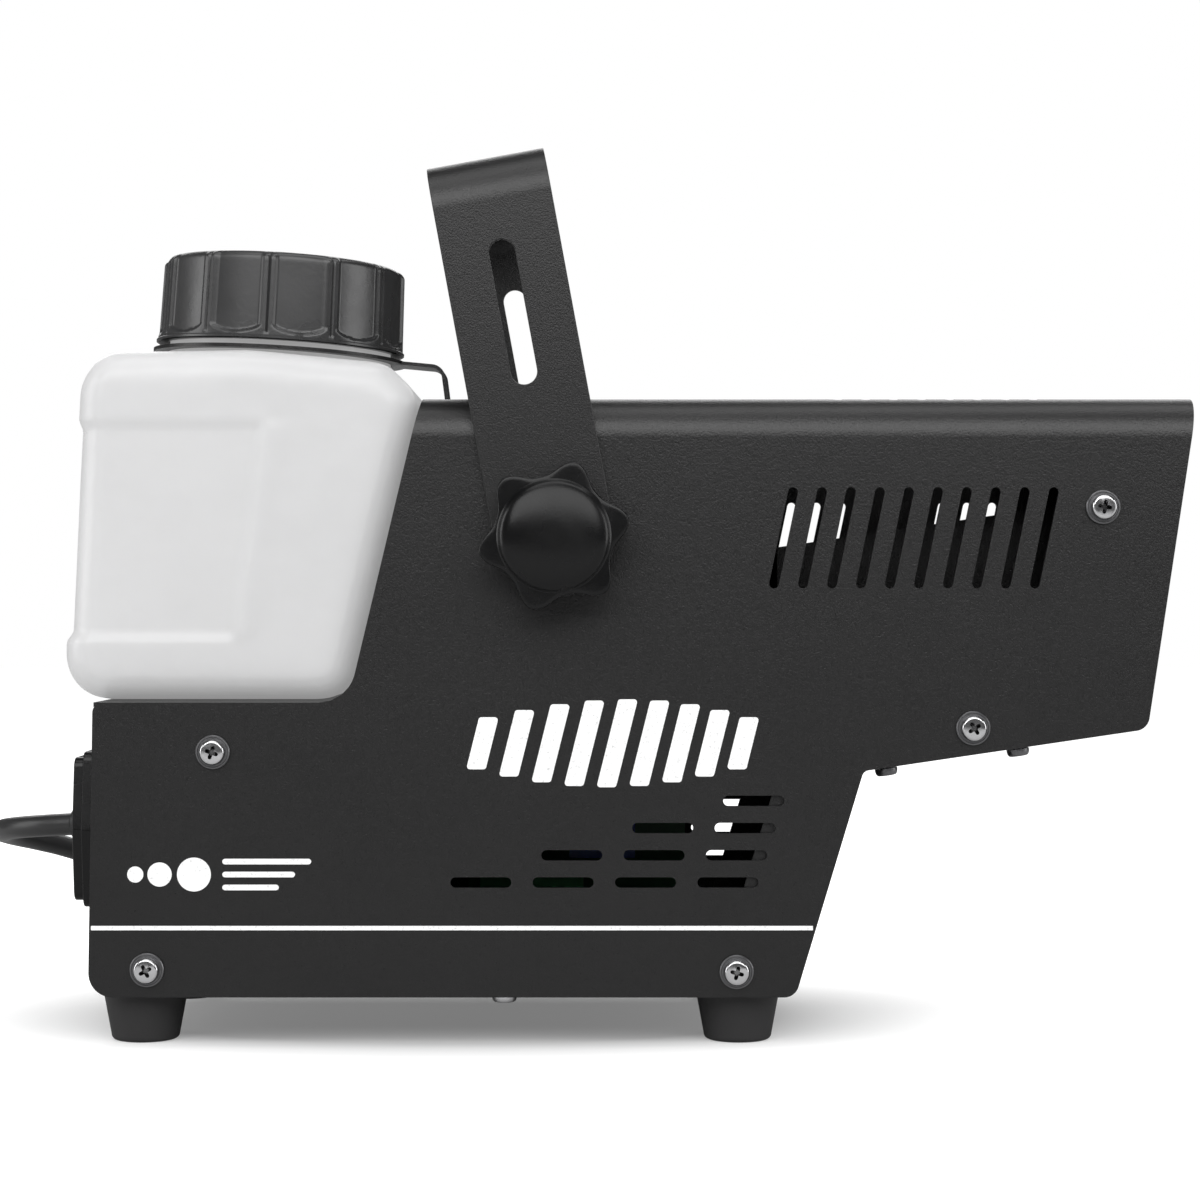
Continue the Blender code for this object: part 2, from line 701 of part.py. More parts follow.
def make_handle():
    """The bent strap on its pivot, with a slot and a pivot hole in each leg."""
    axis = pivot("handle_pivot", (PIVOT_X, 0, PIVOT_Z), (0, -HANDLE_LEAN, 0))
    foot = -STRAP_WIDTH / 2 - PAST
    outer = rounded(
        [
            (-HANDLE_OUTER_Y, foot, 0),
            (HANDLE_OUTER_Y, foot, 0),
            (HANDLE_OUTER_Y, HANDLE_REACH, STRAP_BEND),
            (-HANDLE_OUTER_Y, HANDLE_REACH, STRAP_BEND),
        ],
        steps=6,
    )
    inner = rounded(
        [
            (-HANDLE_INNER_Y, foot - PAST, 0),
            (HANDLE_INNER_Y, foot - PAST, 0),
            (HANDLE_INNER_Y, HANDLE_REACH - STRAP, STRAP_BEND - STRAP),
            (-HANDLE_INNER_Y, HANDLE_REACH - STRAP, STRAP_BEND - STRAP),
        ],
        steps=6,
    )
    half = STRAP_WIDTH / 2
    across = (-HANDLE_OUTER_Y - PAST, HANDLE_OUTER_Y + PAST)
    bracket = prism("handle_bracket", outer, -half - PAST, half + PAST, black_paint, "X")
    grip = prism("handle_inside", inner, -half - 2 * PAST, half + 2 * PAST, axis="X")
    side = [(-half, HANDLE_REACH + PAST)]
    side += [(half * cos(a), half * sin(a)) for a in (pi + pi * k / 12 for k in range(13))]
    side += [(half, HANDLE_REACH + PAST)]
    outline = prism("handle_outline", side, *across)
    slot = slots("handle_slots", [(0, LEG_SLOT_CENTRE)], LEG_SLOT, pi / 2, *across)
    hole = round_holes("handle_pivot_holes", [(0, 0)], STUD_HOLE, *across, sides=16)
    for piece in (bracket, grip, outline, slot, hole):
        piece.parent = axis
    combine(bracket, "INTERSECT", outline)
    combine(bracket, "DIFFERENCE", grip, slot, hole)


def star(radius, height, depth, count=48):
    """A six-lobed ring of points with narrow lobes and wide valleys."""
    ring = []
    for i in range(count):
        angle = 2 * pi * i / count
        lobe = (1 + cos(KNOB_LOBES * angle)) / 2
        reach = radius - depth * (1 - lobe**1.4)
        ring.append((reach * cos(angle), reach * sin(angle), height))
    return ring


def knob_rings():
    """The knob's rings from its stud's tip, through the star, to the dome."""
    radius, depth = KNOB / 2, KNOB_LOBE_DEPTH
    rings = [star(STUD / 2, -STUD_LENGTH, 0), star(STUD / 2, 0, 0), star(0.0090, 0, 0)]
    rings.append(star(radius * 0.90, 0.0040, depth * 0.9))
    rings.append(star(radius, 0.0060, depth))
    rings.append(star(radius, KNOB_HEIGHT - 0.0055, depth))
    rings.append(star(radius * 0.94, KNOB_HEIGHT - 0.0035, depth * 0.9))
    rings.append(star(KNOB_DOME / 2, KNOB_HEIGHT - 0.0025, 0))
    rings.append(star(KNOB_DOME / 2 * 0.86, KNOB_HEIGHT, 0))
    return rings


def make_knobs():
    """On each side a star knob with its stud, a washer and the nut welded inside the cover."""
    washer = [
        (STUD_HOLE, 0),
        (KNOB_WASHER, 0),
        (KNOB_WASHER, KNOB_WASHER_THICKNESS),
        (STUD_HOLE, KNOB_WASHER_THICKNESS),
    ]
    nut_hole = STUD + 2 * SLIDING_FIT
    nut = [(nut_hole, 0), (nut_hole, NUT_LENGTH), (NUT_ACROSS, NUT_LENGTH), (NUT_ACROSS, 0)]
    for side_name, side in (("near", -1), ("far", 1)):
        out = (-side * pi / 2, 0, 0)
        washer_y = HANDLE_OUTER_Y + GAP
        knob_y = washer_y + KNOB_WASHER_THICKNESS + GAP
        washer_at = (PIVOT_X, side * washer_y, PIVOT_Z)
        turned(f"knob_washer_{side_name}", washer, zinc, closed=True, at=washer_at, turn=out)
        knob = loft(f"knob_{side_name}", knob_rings(), black_plastic, at=(PIVOT_X, side * knob_y, PIVOT_Z))
        knob.rotation_euler = (-side * pi / 2, KNOB_TURN * side, 0)
        nut_at = (PIVOT_X, side * (HALF_WIDTH - SHEET - GAP - NUT_LENGTH), PIVOT_Z)
        turned(f"pivot_nut_{side_name}", nut, zinc, 12, True, at=nut_at, turn=out)


# The bottle and what holds it


def bottle_corners():
    """The bottle's side outline."""
    low = SEAT_HEIGHT + GAP
    chamfer_z = SHOULDER_Z - SHOULDER_DROP
    front = -BOTTLE_WALL_CLEARANCE
    return [
        (-BOTTLE_OVERHANG, low, 0.0095),
        (wall_x(low) + front, low, 0.0085),
        (wall_x(chamfer_z) + front, chamfer_z, 0.0100),
        (NECK_X + NECK / 2 + 0.0020, SHOULDER_Z - SHOULDER_FALL, 0.0100),
        (NECK_X - 0.0040, SHOULDER_Z, 0.0300),
        (-BOTTLE_OVERHANG + 0.0027, SHOULDER_Z - 0.0008, 0.0105),
    ]


def drawn_in(corners, distance):
    """Corners, going anticlockwise, moved inward with their radii reduced to match."""
    points = [Vector((a, b)) for a, b, _ in corners]
    moved = []
    for i, (_, _, radius) in enumerate(corners):
        before = (points[i] - points[i - 1]).normalized()
        after = (points[(i + 1) % len(points)] - points[i]).normalized()
        normals = Vector((-before.y, before.x)), Vector((-after.y, after.x))
        place = points[i] + (normals[0] + normals[1]) * (distance / (1 + normals[0].dot(normals[1])))
        moved.append((place.x, place.y, max(radius - distance, 0.0004)))
    return moved


def bottle_form(name, inset, colour=None):
    """The bottle's body with rounded rims, moved inward by inset."""
    half = BOTTLE_WIDTH / 2 - inset
    rim = BOTTLE_EDGE - inset
    steps = 3
    rings = []
    for side in (-1, 1):
        for k in range(steps + 1):
            angle = pi / 2 * (steps - k if side < 0 else k) / steps
            y = side * (half - rim * (1 - sin(angle)))
            outline = rounded(drawn_in(bottle_corners(), inset + rim * (1 - cos(angle))), 3)
            rings.append([(a, y, b) for a, b in outline])
    return loft(name, rings, colour)


def neck_piece(name, profile, colour=None, sides=32, closed=False):
    """A round piece about the tilted neck, measured up from the shoulder."""
    at = (NECK_X, 0, SHOULDER_Z)
    return turned(name, profile, colour, sides, closed, at=at, turn=(0, NECK_TILT, 0))


def outlet_place():
    """The middle of the outlet on the slanted wall, and the direction out of the bottle."""
    z = SEAT_HEIGHT + OUTLET_RISE
    return Vector((wall_x(z), 0, z)), Vector((cos(WALL_LEAN), 0, -sin(WALL_LEAN)))


def outlet_cutter(name):
    """A round cutter through the bottle's front wall and the slanted wall."""
    centre, _ = outlet_place()
    profile = [(OUTLET_HOLE, -0.006), (OUTLET_HOLE, 0.006)]
    return turned(name, profile, sides=16, at=centre, turn=(0, pi / 2 + WALL_LEAN, 0))


def make_bottle():
    """The hollow bottle with its neck, and the cap with its liner."""
    bottle = bottle_form("bottle", 0, translucent)
    neck = neck_piece("bottle_neck", [(NECK, -0.004), (NECK, NECK_HEIGHT)])
    inside = NECK - 2 * NECK_WALL
    mouth = neck_piece("bottle_mouth", [(inside, -0.010), (inside, NECK_HEIGHT + PAST)])
    combine(bottle, "UNION", neck)
    combine(bottle, "DIFFERENCE", bottle_form("bottle_inside", BOTTLE_WALL), mouth)
    combine(bottle, "DIFFERENCE", outlet_cutter("bottle_outlet_hole"))

    liner_z = NECK_HEIGHT + GAP
    liner = CAP - 2 * CAP_WALL - 2 * GAP
    neck_piece("cap_liner", [(liner, liner_z), (liner, liner_z + LINER_THICKNESS)], white_foam)
    roof = liner_z + LINER_THICKNESS + GAP
    bore = CAP / 2 - CAP_WALL
    rings = [star(bore, roof, 0), star(bore, CAP_RISE, 0)]
    top = CAP_RISE + CAP_HEIGHT
    for reach, height, depth in (
        (CAP / 2, CAP_RISE, 0),
        (CAP / 2 - 0.0002, CAP_RISE + 0.0018, CAP_FLUTE_DEPTH),
        (CAP / 2 - 0.0006, top - 0.0022, CAP_FLUTE_DEPTH),
        (CAP / 2 - 0.0026, top, 0),
    ):
        rings.append(fluted(reach, height, depth))
    loft("bottle_cap", rings, cap_plastic, at=(NECK_X, 0, SHOULDER_Z), turn=(0, NECK_TILT, 0))


def fluted(radius, height, depth):
    """A ring with shallow flutes between narrow ribs."""
    ring = []
    for i in range(48):
        angle = 2 * pi * i / 48
        flute = 1 - abs(cos(CAP_FLUTES * angle / 2)) ** 8
        reach = radius - depth * flute
        ring.append((reach * cos(angle), reach * sin(angle), height))
    return ring


def make_neck_plate():
    """The black plate round the neck, bent down to the housing's top behind a screwed foot."""
    rim = NECK / 2 + NECK_PLATE_RIM
    low = NECK_PLATE_RISE
    high = NECK_PLATE_RISE + NECK_PLATE
    plate = neck_piece("neck_plate", [(2 * rim, low), (2 * rim, high)], black_paint)
    drop_x = wall_x(HOUSING_TOP) + NECK_TAB_FORWARD
    drop_z = HOUSING_TOP + GAP
    start = rim - NECK_PLATE_RIM / 2
    start_z = SHOULDER_Z + NECK_PLATE_RISE * cos(NECK_TILT) - start * sin(NECK_TILT) - EASE
    path = [
        (NECK_X + start, start_z, 0),
        (drop_x - 0.0015, start_z - 0.0012, 0.0025),
        (drop_x, drop_z, 0.0015),
        (drop_x + NECK_TAB_FOOT, drop_z, 0),
    ]
    half = NECK_TAB_WIDTH / 2
    strap = prism("neck_plate_tab", band(path, NECK_PLATE), -half, half)
    bore = NECK + 2 * GAP + 2 * SLIDING_FIT
    hole = neck_piece("neck_plate_bore", [(bore, -0.004), (bore, 0.008)])
    screw_x = drop_x + NECK_TAB_FOOT - 0.0060
    reach = (HOUSING_TOP - 2 * PAST, HOUSING_TOP + 2 * PAST)
    screw_hole = round_holes("neck_screw_hole", [(screw_x, 0)], SCREW_HOLE, *reach, axis="Z")
    combine(plate, "UNION", strap)
    combine(plate, "DIFFERENCE", hole, screw_hole)
    combine(bpy.data.objects["cover_shell"], "DIFFERENCE", screw_hole)
    profile = screw_profile(SCREW_HEAD, SCREW_HEAD + 2 * EASE, 0.0050)
    turned("neck_plate_screw", profile, black_steel, 10, at=(screw_x, 0, drop_z + NECK_PLATE + GAP))


# The fluid path


def pump_z():
    """The height of the pump's axis."""
    return FOOT_HEIGHT + PUMP_RISE


def pump_screw_x():
    """Where the pump bracket's screw goes."""
    return PUMP_X + PUMP_SIZE[0] + 0.0308


def make_fluid_path():
    """The weighted filter, the hose, its grommet, the pump and the pipe to the heater."""
    centre, outward = outlet_place()
    bush = OUTLET_HOLE - 2 * GAP
    bore = HOSE + 4 * GAP
    lip = OUTLET_HOLE + 0.005
    wall_front = SHEET / 2 + 0.0012
    wall_back = -BOTTLE_WALL_CLEARANCE - BOTTLE_WALL - 0.0012
    profile = [
        (bore, wall_back - 0.0015),
        (lip, wall_back - 0.0015),
        (lip, wall_back),
        (bush, wall_back),
        (bush, wall_front + 0.0015),
        (bore, wall_front + 0.0015),
    ]
    turned("outlet_grommet", profile, rubber, 20, True, at=centre, turn=(0, pi / 2 + WALL_LEAN, 0))

    filter_z = SEAT_HEIGHT + BOTTLE_WALL + 0.0012 + FILTER[0] / 2
    filter_x = 0.0150
    width, length = FILTER
    weight = [(width * 0.7, 0), (width, 0.002), (width, length - 0.002), (width * 0.7, length)]
    turned("hose_filter", weight, brass, 16, at=(filter_x, 0, filter_z), turn=(0, pi / 2, 0))

    inlet_x = PUMP_X + PUMP_SIZE[0] + PUMP_CAP_THICKNESS + BARB_LENGTH + 2 * GAP
    z = pump_z()
    route = [
        (filter_x + length + GAP, 0, filter_z),
        (filter_x + length + 0.010, 0, filter_z + 0.0005),
        tuple(centre - outward * 0.016),
        tuple(centre - outward * 0.008),
        tuple(centre),
        tuple(centre + outward * 0.010),
        (centre.x + 0.023, -0.001, centre.z - 0.0140),
        (inlet_x + 0.0130, -0.002, centre.z - 0.0290),
        (inlet_x + 0.0150, PUMP_Y + 0.001, z + 0.0180),
        (inlet_x + 0.0120, PUMP_Y, z + 0.0060),
        (inlet_x + 0.0050, PUMP_Y, z),
        (inlet_x, PUMP_Y, z),
    ]
    pipe("suction_hose", route, HOSE, clear_hose, 0.007)

    length, width, height = PUMP_SIZE
    low = (PUMP_X, PUMP_Y - width / 2, z - height / 2)
    high = (PUMP_X + length, PUMP_Y + width / 2, z + height / 2)
    body = block("pump_body", low, high, coil_grey)
    deep = [(PUMP_BORE, PUMP_WALL), (PUMP_BORE, length + PAST)]
    along_x = {"at": (PUMP_X, PUMP_Y, z), "turn": (0, pi / 2, 0)}
    combine(body, "DIFFERENCE", turned("pump_bore", deep, sides=24, **along_x))
    stub = turned("pump_outlet", [(0.009, -0.006), (0.009, 0.002)], sides=16, **along_x)
    combine(body, "UNION", stub)

    start = PUMP_WALL + PLUNGER_TRAVEL + 2 * GAP
    plunger = [(PLUNGER, 0), (PLUNGER, PLUNGER_LENGTH)]
    turned("pump_plunger", plunger, steel, 24, at=(PUMP_X + start, PUMP_Y, z), turn=(0, pi / 2, 0))

    fitting = [
        (PUMP_CAP, 0),
        (PUMP_CAP, PUMP_CAP_THICKNESS),
        (BARB, PUMP_CAP_THICKNESS),
        (BARB, PUMP_CAP_THICKNESS + BARB_LENGTH),
    ]
    turned("pump_inlet", fitting, brass, 20, at=(high[0] + GAP, PUMP_Y, z), turn=(0, pi / 2, 0))

    stand_top = low[2] - GAP
    base = FOOT_HEIGHT + SHEET + GAP
    stand = [(PUMP_X, base), (pump_screw_x() + 0.008, base), (pump_screw_x() + 0.008, base + SHEET)]
    stand += [(PUMP_X + length, base + SHEET), (PUMP_X + length, stand_top), (PUMP_X, stand_top)]
    near_edge = -HALF_WIDTH + SHEET + FLANGE * 0.35
    bracket = prism("pump_bracket", stand, near_edge, high[1], steel)
    core = block(
        "pump_bracket_core",
        (PUMP_X - PAST, low[1] - 0.030, base + SHEET),
        (PUMP_X + length - SHEET, low[1], stand_top + PAST),
    )
    under = block(
        "pump_bracket_inside",
        (PUMP_X - PAST, low[1] - 0.030, base + SHEET),
        (PUMP_X + length - SHEET, high[1] + PAST, stand_top - SHEET),
    )
    hole = round_holes("pump_bracket_hole", underside_places()[4:], UNDERSIDE_HOLE, 0.001, 0.06, "Z")
    combine(bracket, "DIFFERENCE", core, under, hole)

    end = heater_low()[0] - GAP
    axis = nozzle_z()
    route = [
        (PUMP_X - 0.0063, PUMP_Y, z),
        (PUMP_X - 0.0095, PUMP_Y, z),
        (PUMP_X - 0.0145, PUMP_Y - 0.002, z + 0.0040),
        (PUMP_X - 0.0145, PUMP_Y - 0.006, z + 0.0130),
        (PUMP_X - 0.0060, PUMP_Y - 0.014, z + 0.0230),
        (PUMP_X + 0.0080, PUMP_Y - 0.020, z + 0.0280),
        (PUMP_X + 0.0450, PUMP_Y - 0.024, z + 0.0290),
        (0.5 * (PUMP_X + end), -0.026, z + 0.0300),
        (end - 0.0340, -0.016, z + 0.0350),
        (end - 0.0200, -0.004, axis - 0.0080),
        (end - 0.0100, 0, axis),
        (end, 0, axis),
    ]
    pipe("delivery_pipe", route, PIPE, copper, 0.011)


# The heater and its nozzle


def nozzle_z():
    """The height of the nozzle's axis."""
    return NOSE_HEIGHT + HEATER_RISE_FROM_NOSE + HEATER_SIZE[2] / 2


def heater_low():
    """The heater block's lowest corner."""
    x = front_x(nozzle_z()) - HEATER_BACK_FROM_FRONT - HEATER_SIZE[0]
    return (x, -HEATER_SIZE[1] / 2, nozzle_z() - HEATER_SIZE[2] / 2)


def make_heater():
    """The heater block on two brackets, its insulation, its nozzle and its two cut-outs."""
    length, width, height = HEATER_SIZE
    x, y, z = heater_low()
    block("heater_block", (x, y, z), (x + length, -y, z + height), aluminium)

    foot, roof = z + 0.001, z + height + GAP
    inner = [(y - GAP, foot), (y - GAP, roof), (-y + GAP, roof), (-y + GAP, foot)]
    wrap = GAP + INSULATION
    top = roof + INSULATION
    outer = [(-y + wrap, foot), (-y + wrap, top), (y - wrap, top), (y - wrap, foot)]
    start = x + length - INSULATION_LENGTH - 0.002
    prism("heater_insulation", inner + outer, start, start + INSULATION_LENGTH, ceramic, "X")
    make_heater_cover()

    strap, _, sheet = HEATER_BRACKET
    half = HALF_WIDTH - NOSE_SCREW_INSET + 0.005
    leg = HEATER_BRACKET[1] / 2
    for place, forward in zip(("rear", "front"), NOSE_SCREWS_FORWARD):
        middle = NOSE_BACK_X + forward
        base = nose_z(middle + strap / 2) + SHEET / cos(NOSE_SLOPE) + GAP
        top = z - GAP
        path = [(-half, base), (-leg, base), (-leg, top - sheet)]
        path += [(leg, top - sheet), (leg, base), (half, base)]
        outline = path + beside(path, sheet)[::-1]
        bracket = prism(f"heater_bracket_{place}", outline, middle - strap / 2, middle + strap / 2, zinc, "X")
        holes = [p for p in underside_places()[:4] if abs(p[0] - middle) < strap / 2]
        reach = (base - PAST, base + PAST)
        cutter = round_holes(f"heater_bracket_holes_{place}", holes, UNDERSIDE_HOLE, *reach, "Z")
        combine(bracket, "DIFFERENCE", cutter)

    end = front_x(nozzle_z()) - GAP
    reach = end - (x + length) - GAP
    profile = [
        (NOZZLE_BORE, 0),
        (NOZZLE_HEX, 0),
        (NOZZLE_HEX, reach * 0.55),
        (NOZZLE_TIP, reach * 0.55),
        (NOZZLE_TIP, reach - 0.001),
        (NOZZLE_TIP - 0.002, reach),
        (NOZZLE_BORE, reach),
    ]
    turned("nozzle", profile, brass, 18, True, at=(x + length + GAP, 0, nozzle_z()), turn=(0, pi / 2, 0))

    disc = [(0.0130, 0), (0.0130, 0.0030), (0.0090, 0.0034), (0.0090, 0.0055)]
    turned("thermostat", disc, bakelite, 20, at=(start - 0.0085, 0.004, z + height + GAP))
    fuse_at = (start - 0.0085, y - 0.0028, z + 0.002)
    fuse = [(0.0036, 0), (0.0048, 0.001), (0.0048, 0.015), (0.0036, 0.016)]
    turned("thermal_fuse", fuse, zinc, 12, at=fuse_at)


def make_heater_cover():
    """The black cover over the heater, an upside-down U whose top follows the nose's slope."""
    length, width, rise = HEATER_COVER
    high_x = front_x(nozzle_z()) - GAP - HEATER_COVER_BACK_FROM_FRONT
    low_x = high_x - length

    def face(foot, top):
        return [
            (low_x, nose_z(low_x) + foot),
            (high_x, nose_z(high_x) + foot),
            (high_x, nose_z(high_x) + top),
            (low_x, nose_z(low_x) + top),
        ]

    sheet = HEATER_BRACKET[2]
    cover = prism("heater_cover", face(HEATER_COVER_FOOT, rise), -width / 2, width / 2, black_paint)
    room = []
    for a, b in face(HEATER_COVER_FOOT - PAST, rise - sheet):
        room.append((a + (PAST if a > low_x else -PAST), b))
    combine(cover, "DIFFERENCE", prism("heater_cover_room", room, sheet - width / 2, width / 2 - sheet))


# The control parts


def make_controls():
    """The control board with its relay and terminal block, and the sheet that shields it from the heater."""
    length, thickness, height = BOARD
    base = FOOT_HEIGHT + SHEET + GAP
    high = (BOARD_X + length, BOARD_Y + thickness, base + height)
    block("control_board", (BOARD_X, BOARD_Y, base), high, board_green)
    near = BOARD_Y - GAP
    x, z = BOARD_X + 0.030, base + 0.030
    block("relay", (x, near - RELAY[1], z), (x + RELAY[0], near, z + RELAY[2]), relay_blue)
    x, z = BOARD_X + 0.004, base + 0.014
    far_corner = (x + TERMINALS[0], near, z + TERMINALS[2])
    block("terminal_block", (x, near - TERMINALS[1], z), far_corner, terminal_green)

    rise, depth = SHIELD
    foot_x = NECK_FOOT_X - 0.0120
    foot = (foot_x - 0.010, base, 0)
    path = [foot, (foot_x, base, 0.002), (foot_x + rise * tan(NECK_LEAN) * 1.6, base + rise, 0)]
    prism("heat_shield", band(path, SHEET), -depth / 2, depth / 2, zinc)


# The rear panel's socket and cord


def socket_z():
    """The height of the socket's middle."""
    return FOOT_HEIGHT + SOCKET_RISE


def make_socket():
    """The remote control's socket: a flange, a stepped bezel and a body through the panel."""
    width, height, thickness = SOCKET_FLANGE
    bezel_width, bezel_height, bezel = SOCKET_BEZEL
    at = (0, SOCKET_Y, socket_z())
    lean = REAR_LEAN
    flange = prism("remote_socket", six_sided(width, height), -thickness, -GAP, black_plastic, "X", at=at)
    inner = six_sided(bezel_width, bezel_height)
    front = prism("socket_front", inner, -thickness - bezel, -thickness / 2, axis="X", at=at)
    body_outline = six_sided(bezel_width - 0.002, bezel_height - 0.006)
    body = prism("socket_body", body_outline, -thickness / 2, SOCKET_BODY_DEPTH + lean, axis="X", at=at)
    half_y, half_z, depth = SOCKET_RECESS[0] / 2, SOCKET_RECESS[1] / 2, SOCKET_RECESS[2]
    mouth = -thickness - bezel
    low = (mouth - PAST, -half_y, -half_z)
    high = (mouth + depth, half_y, half_z)
    recess = block("socket_recess", low, high, at=at)
    combine(flange, "UNION", front, body)
    combine(flange, "DIFFERENCE", recess)


def ring_across(centre, direction, radius, sides=16):
    """A ring of points round a centre, square to a direction."""
    turn = Vector(direction).to_track_quat("Z", "Y").to_matrix()
    return [Vector(centre) + turn @ Vector(point) for point in circle(radius, 0, sides)]


def make_cord():
    """The strain relief, the cord as it leaves it, its coil and its plug."""
    centres = [Vector(p) for p in RELIEF_ROUTE]
    first = centres[0] - centres[1]
    rings = [ring_across(centres[0], first, 0.0058)]
    inner_face = Vector((-GAP, RELIEF_Y, centres[1].z))
    rings.append(ring_across(inner_face, first, 0.0058))
    rings.append(ring_across(inner_face, first, 0.0090))
    rings.append(ring_across(inner_face - Vector((0.0025, 0, 0)), first, 0.0090))
    rings.append(ring_across(inner_face - Vector((0.0030, 0, 0)), first, 0.0060))
    rings.append(ring_across(centres[2], centres[1] - centres[3], 0.0053))
    rings.append(ring_across(centres[3], centres[2] - centres[3], 0.0043))
    loft("cord_relief", rings, rubber)

    pipe("mains_cord", CORD_ROUTE, CORD, cord_black, 0.0150, 2)

    half = COIL_TURNS_ACROSS * COIL_PITCH / 2
    tall = COIL_TURNS_HIGH * COIL_PITCH
    inner, outer = COIL_MIDDLE - half, COIL_MIDDLE + half
    edge = CORD * 0.3
    profile = [
        (inner + edge, 0.0001),
        (outer - edge, 0.0001),
        (outer, edge),
        (outer, tall - edge),
        (outer - edge, tall),
        (inner + edge, tall),
        (inner, tall - edge),
        (inner, edge),
    ]
    x, y = COIL_CENTRE
    rings = [circle(radius, height, 36) for radius, height in profile]
    loft("cord_coil", rings, cord_black, True, at=(x, y, 0))

    profile = [
        (PLUG_TAIL, 0),
        (CORD + 0.006, 0.010),
        (PLUG_FACE * 0.62, 0.016),
        (PLUG_FACE * 0.66, PLUG_LENGTH - 0.014),
        (PLUG_FACE, PLUG_LENGTH - 0.010),
        (PLUG_FACE, PLUG_LENGTH),
    ]
    beside_turn = COIL_MIDDLE + COIL_PITCH / 2
    clear_of_coil = sqrt(outer**2 - (beside_turn - PLUG_TAIL / 2) ** 2) + GAP
    plug_at = (x - clear_of_coil, y + beside_turn, PLUG_FACE / 2 + GAP)
    plug = turned("mains_plug", profile, cord_black, 24, at=plug_at, turn=(0, -pi / 2, 0))
    diameter, spacing, reach = PLUG_PIN
    for number, side in enumerate((-1, 1)):
        pin_profile = [(diameter, PLUG_LENGTH - 0.003), (diameter, PLUG_LENGTH + reach)]
        place = (plug_at[0], plug_at[1] + side * spacing / 2, plug_at[2])
        pin = turned(f"plug_pin_{number}", pin_profile, sides=12, at=place, turn=(0, -pi / 2, 0))
        combine(plug, "UNION", pin)


for old in list(bpy.data.objects):
    bpy.data.objects.remove(old)

rear_edge = bpy.data.objects.new("rear_edge", None)
bpy.context.scene.collection.objects.link(rear_edge)
rear_edge.location = (-ORIGIN_X, 0, 0)

black_paint = finish("black_paint", (0.030, 0.029, 0.030), 0.45)
black_plastic = finish("black_plastic", (0.020, 0.020, 0.021), 0.38)
cap_plastic = finish("cap_plastic", (0.018, 0.018, 0.019), 0.28)
black_steel = finish("black_steel", (0.05, 0.05, 0.05), 0.4, 0.8)
rubber = finish("rubber", (0.025, 0.024, 0.025), 0.7)
cord_black = finish("cord_black", (0.02, 0.02, 0.02), 0.45)
chrome = finish("chrome", (0.75, 0.75, 0.76), 0.2, 1.0)
zinc = finish("zinc", (0.62, 0.62, 0.63), 0.35, 1.0)
steel = finish("steel", (0.55, 0.55, 0.56), 0.4, 1.0)
aluminium = finish("aluminium", (0.70, 0.70, 0.72), 0.45, 1.0)
brass = finish("brass", (0.75, 0.58, 0.28), 0.3, 1.0)
copper = finish("copper", (0.80, 0.45, 0.30), 0.3, 1.0)
translucent = finish("translucent", (0.88, 0.88, 0.86), 0.4, 0.0, 0.9)
white_foam = finish("white_foam", (0.85, 0.85, 0.83), 0.7)
clear_hose = finish("clear_hose", (0.85, 0.86, 0.84), 0.3)
coil_grey = finish("coil_grey", (0.16, 0.16, 0.17), 0.5)
ceramic = finish("ceramic", (0.82, 0.80, 0.74), 0.9)
bakelite = finish("bakelite", (0.12, 0.07, 0.05), 0.4)
board_green = finish("board_green", (0.05, 0.16, 0.08), 0.5)
relay_blue = finish("relay_blue", (0.05, 0.12, 0.40), 0.4)
terminal_green = finish("terminal_green", (0.10, 0.40, 0.18), 0.45)

make_housing()
make_feet()
make_screws()
make_handle()
make_knobs()
make_bottle()
make_neck_plate()
make_fluid_path()
make_heater()
make_controls()
make_socket()
make_cord()
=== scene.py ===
"""Looks of a small fog machine: its finishes, fine meshes and mains lead, in a plain studio.

Metres, +Z up. X runs from the rear panel to the nozzle and Y to the side with the mains lead.
"""

import json
import logging
from collections.abc import Callable, Iterable, Sequence
from dataclasses import dataclass, field
from enum import Enum
from functools import partial
from math import atan2, cos, pi, radians, sin, tan
from typing import Any

import bmesh
import bpy
import numpy as np
from mathutils import Matrix, Vector


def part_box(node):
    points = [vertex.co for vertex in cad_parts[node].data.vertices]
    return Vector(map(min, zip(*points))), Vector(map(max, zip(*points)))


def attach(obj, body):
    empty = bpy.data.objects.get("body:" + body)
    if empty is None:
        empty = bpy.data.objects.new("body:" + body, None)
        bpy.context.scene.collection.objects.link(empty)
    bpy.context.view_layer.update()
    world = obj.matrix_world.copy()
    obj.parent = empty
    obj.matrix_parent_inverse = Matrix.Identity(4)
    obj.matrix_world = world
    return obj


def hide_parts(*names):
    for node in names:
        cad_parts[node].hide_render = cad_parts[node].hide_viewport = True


log = logging.getLogger("fog_machine")

Pair = tuple[float, float]
Triple = tuple[float, float, float]
Corner = tuple[float, float, float]

GAP = 0.0003  # between pieces that touch

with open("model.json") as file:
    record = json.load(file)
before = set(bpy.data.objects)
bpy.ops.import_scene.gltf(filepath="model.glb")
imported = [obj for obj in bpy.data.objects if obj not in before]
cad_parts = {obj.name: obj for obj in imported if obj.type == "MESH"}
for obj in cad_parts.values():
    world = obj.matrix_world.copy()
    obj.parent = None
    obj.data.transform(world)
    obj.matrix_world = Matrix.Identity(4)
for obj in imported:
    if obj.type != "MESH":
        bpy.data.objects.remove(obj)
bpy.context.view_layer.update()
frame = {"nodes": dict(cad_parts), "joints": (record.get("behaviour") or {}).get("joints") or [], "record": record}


class Side(Enum):
    """A side of the machine, as the sign of its Y."""

    NEAR = -1
    FAR = 1

    @property
    def word(self) -> str:
        """The side's name as the frame's nodes have it."""
        return self.name.lower()


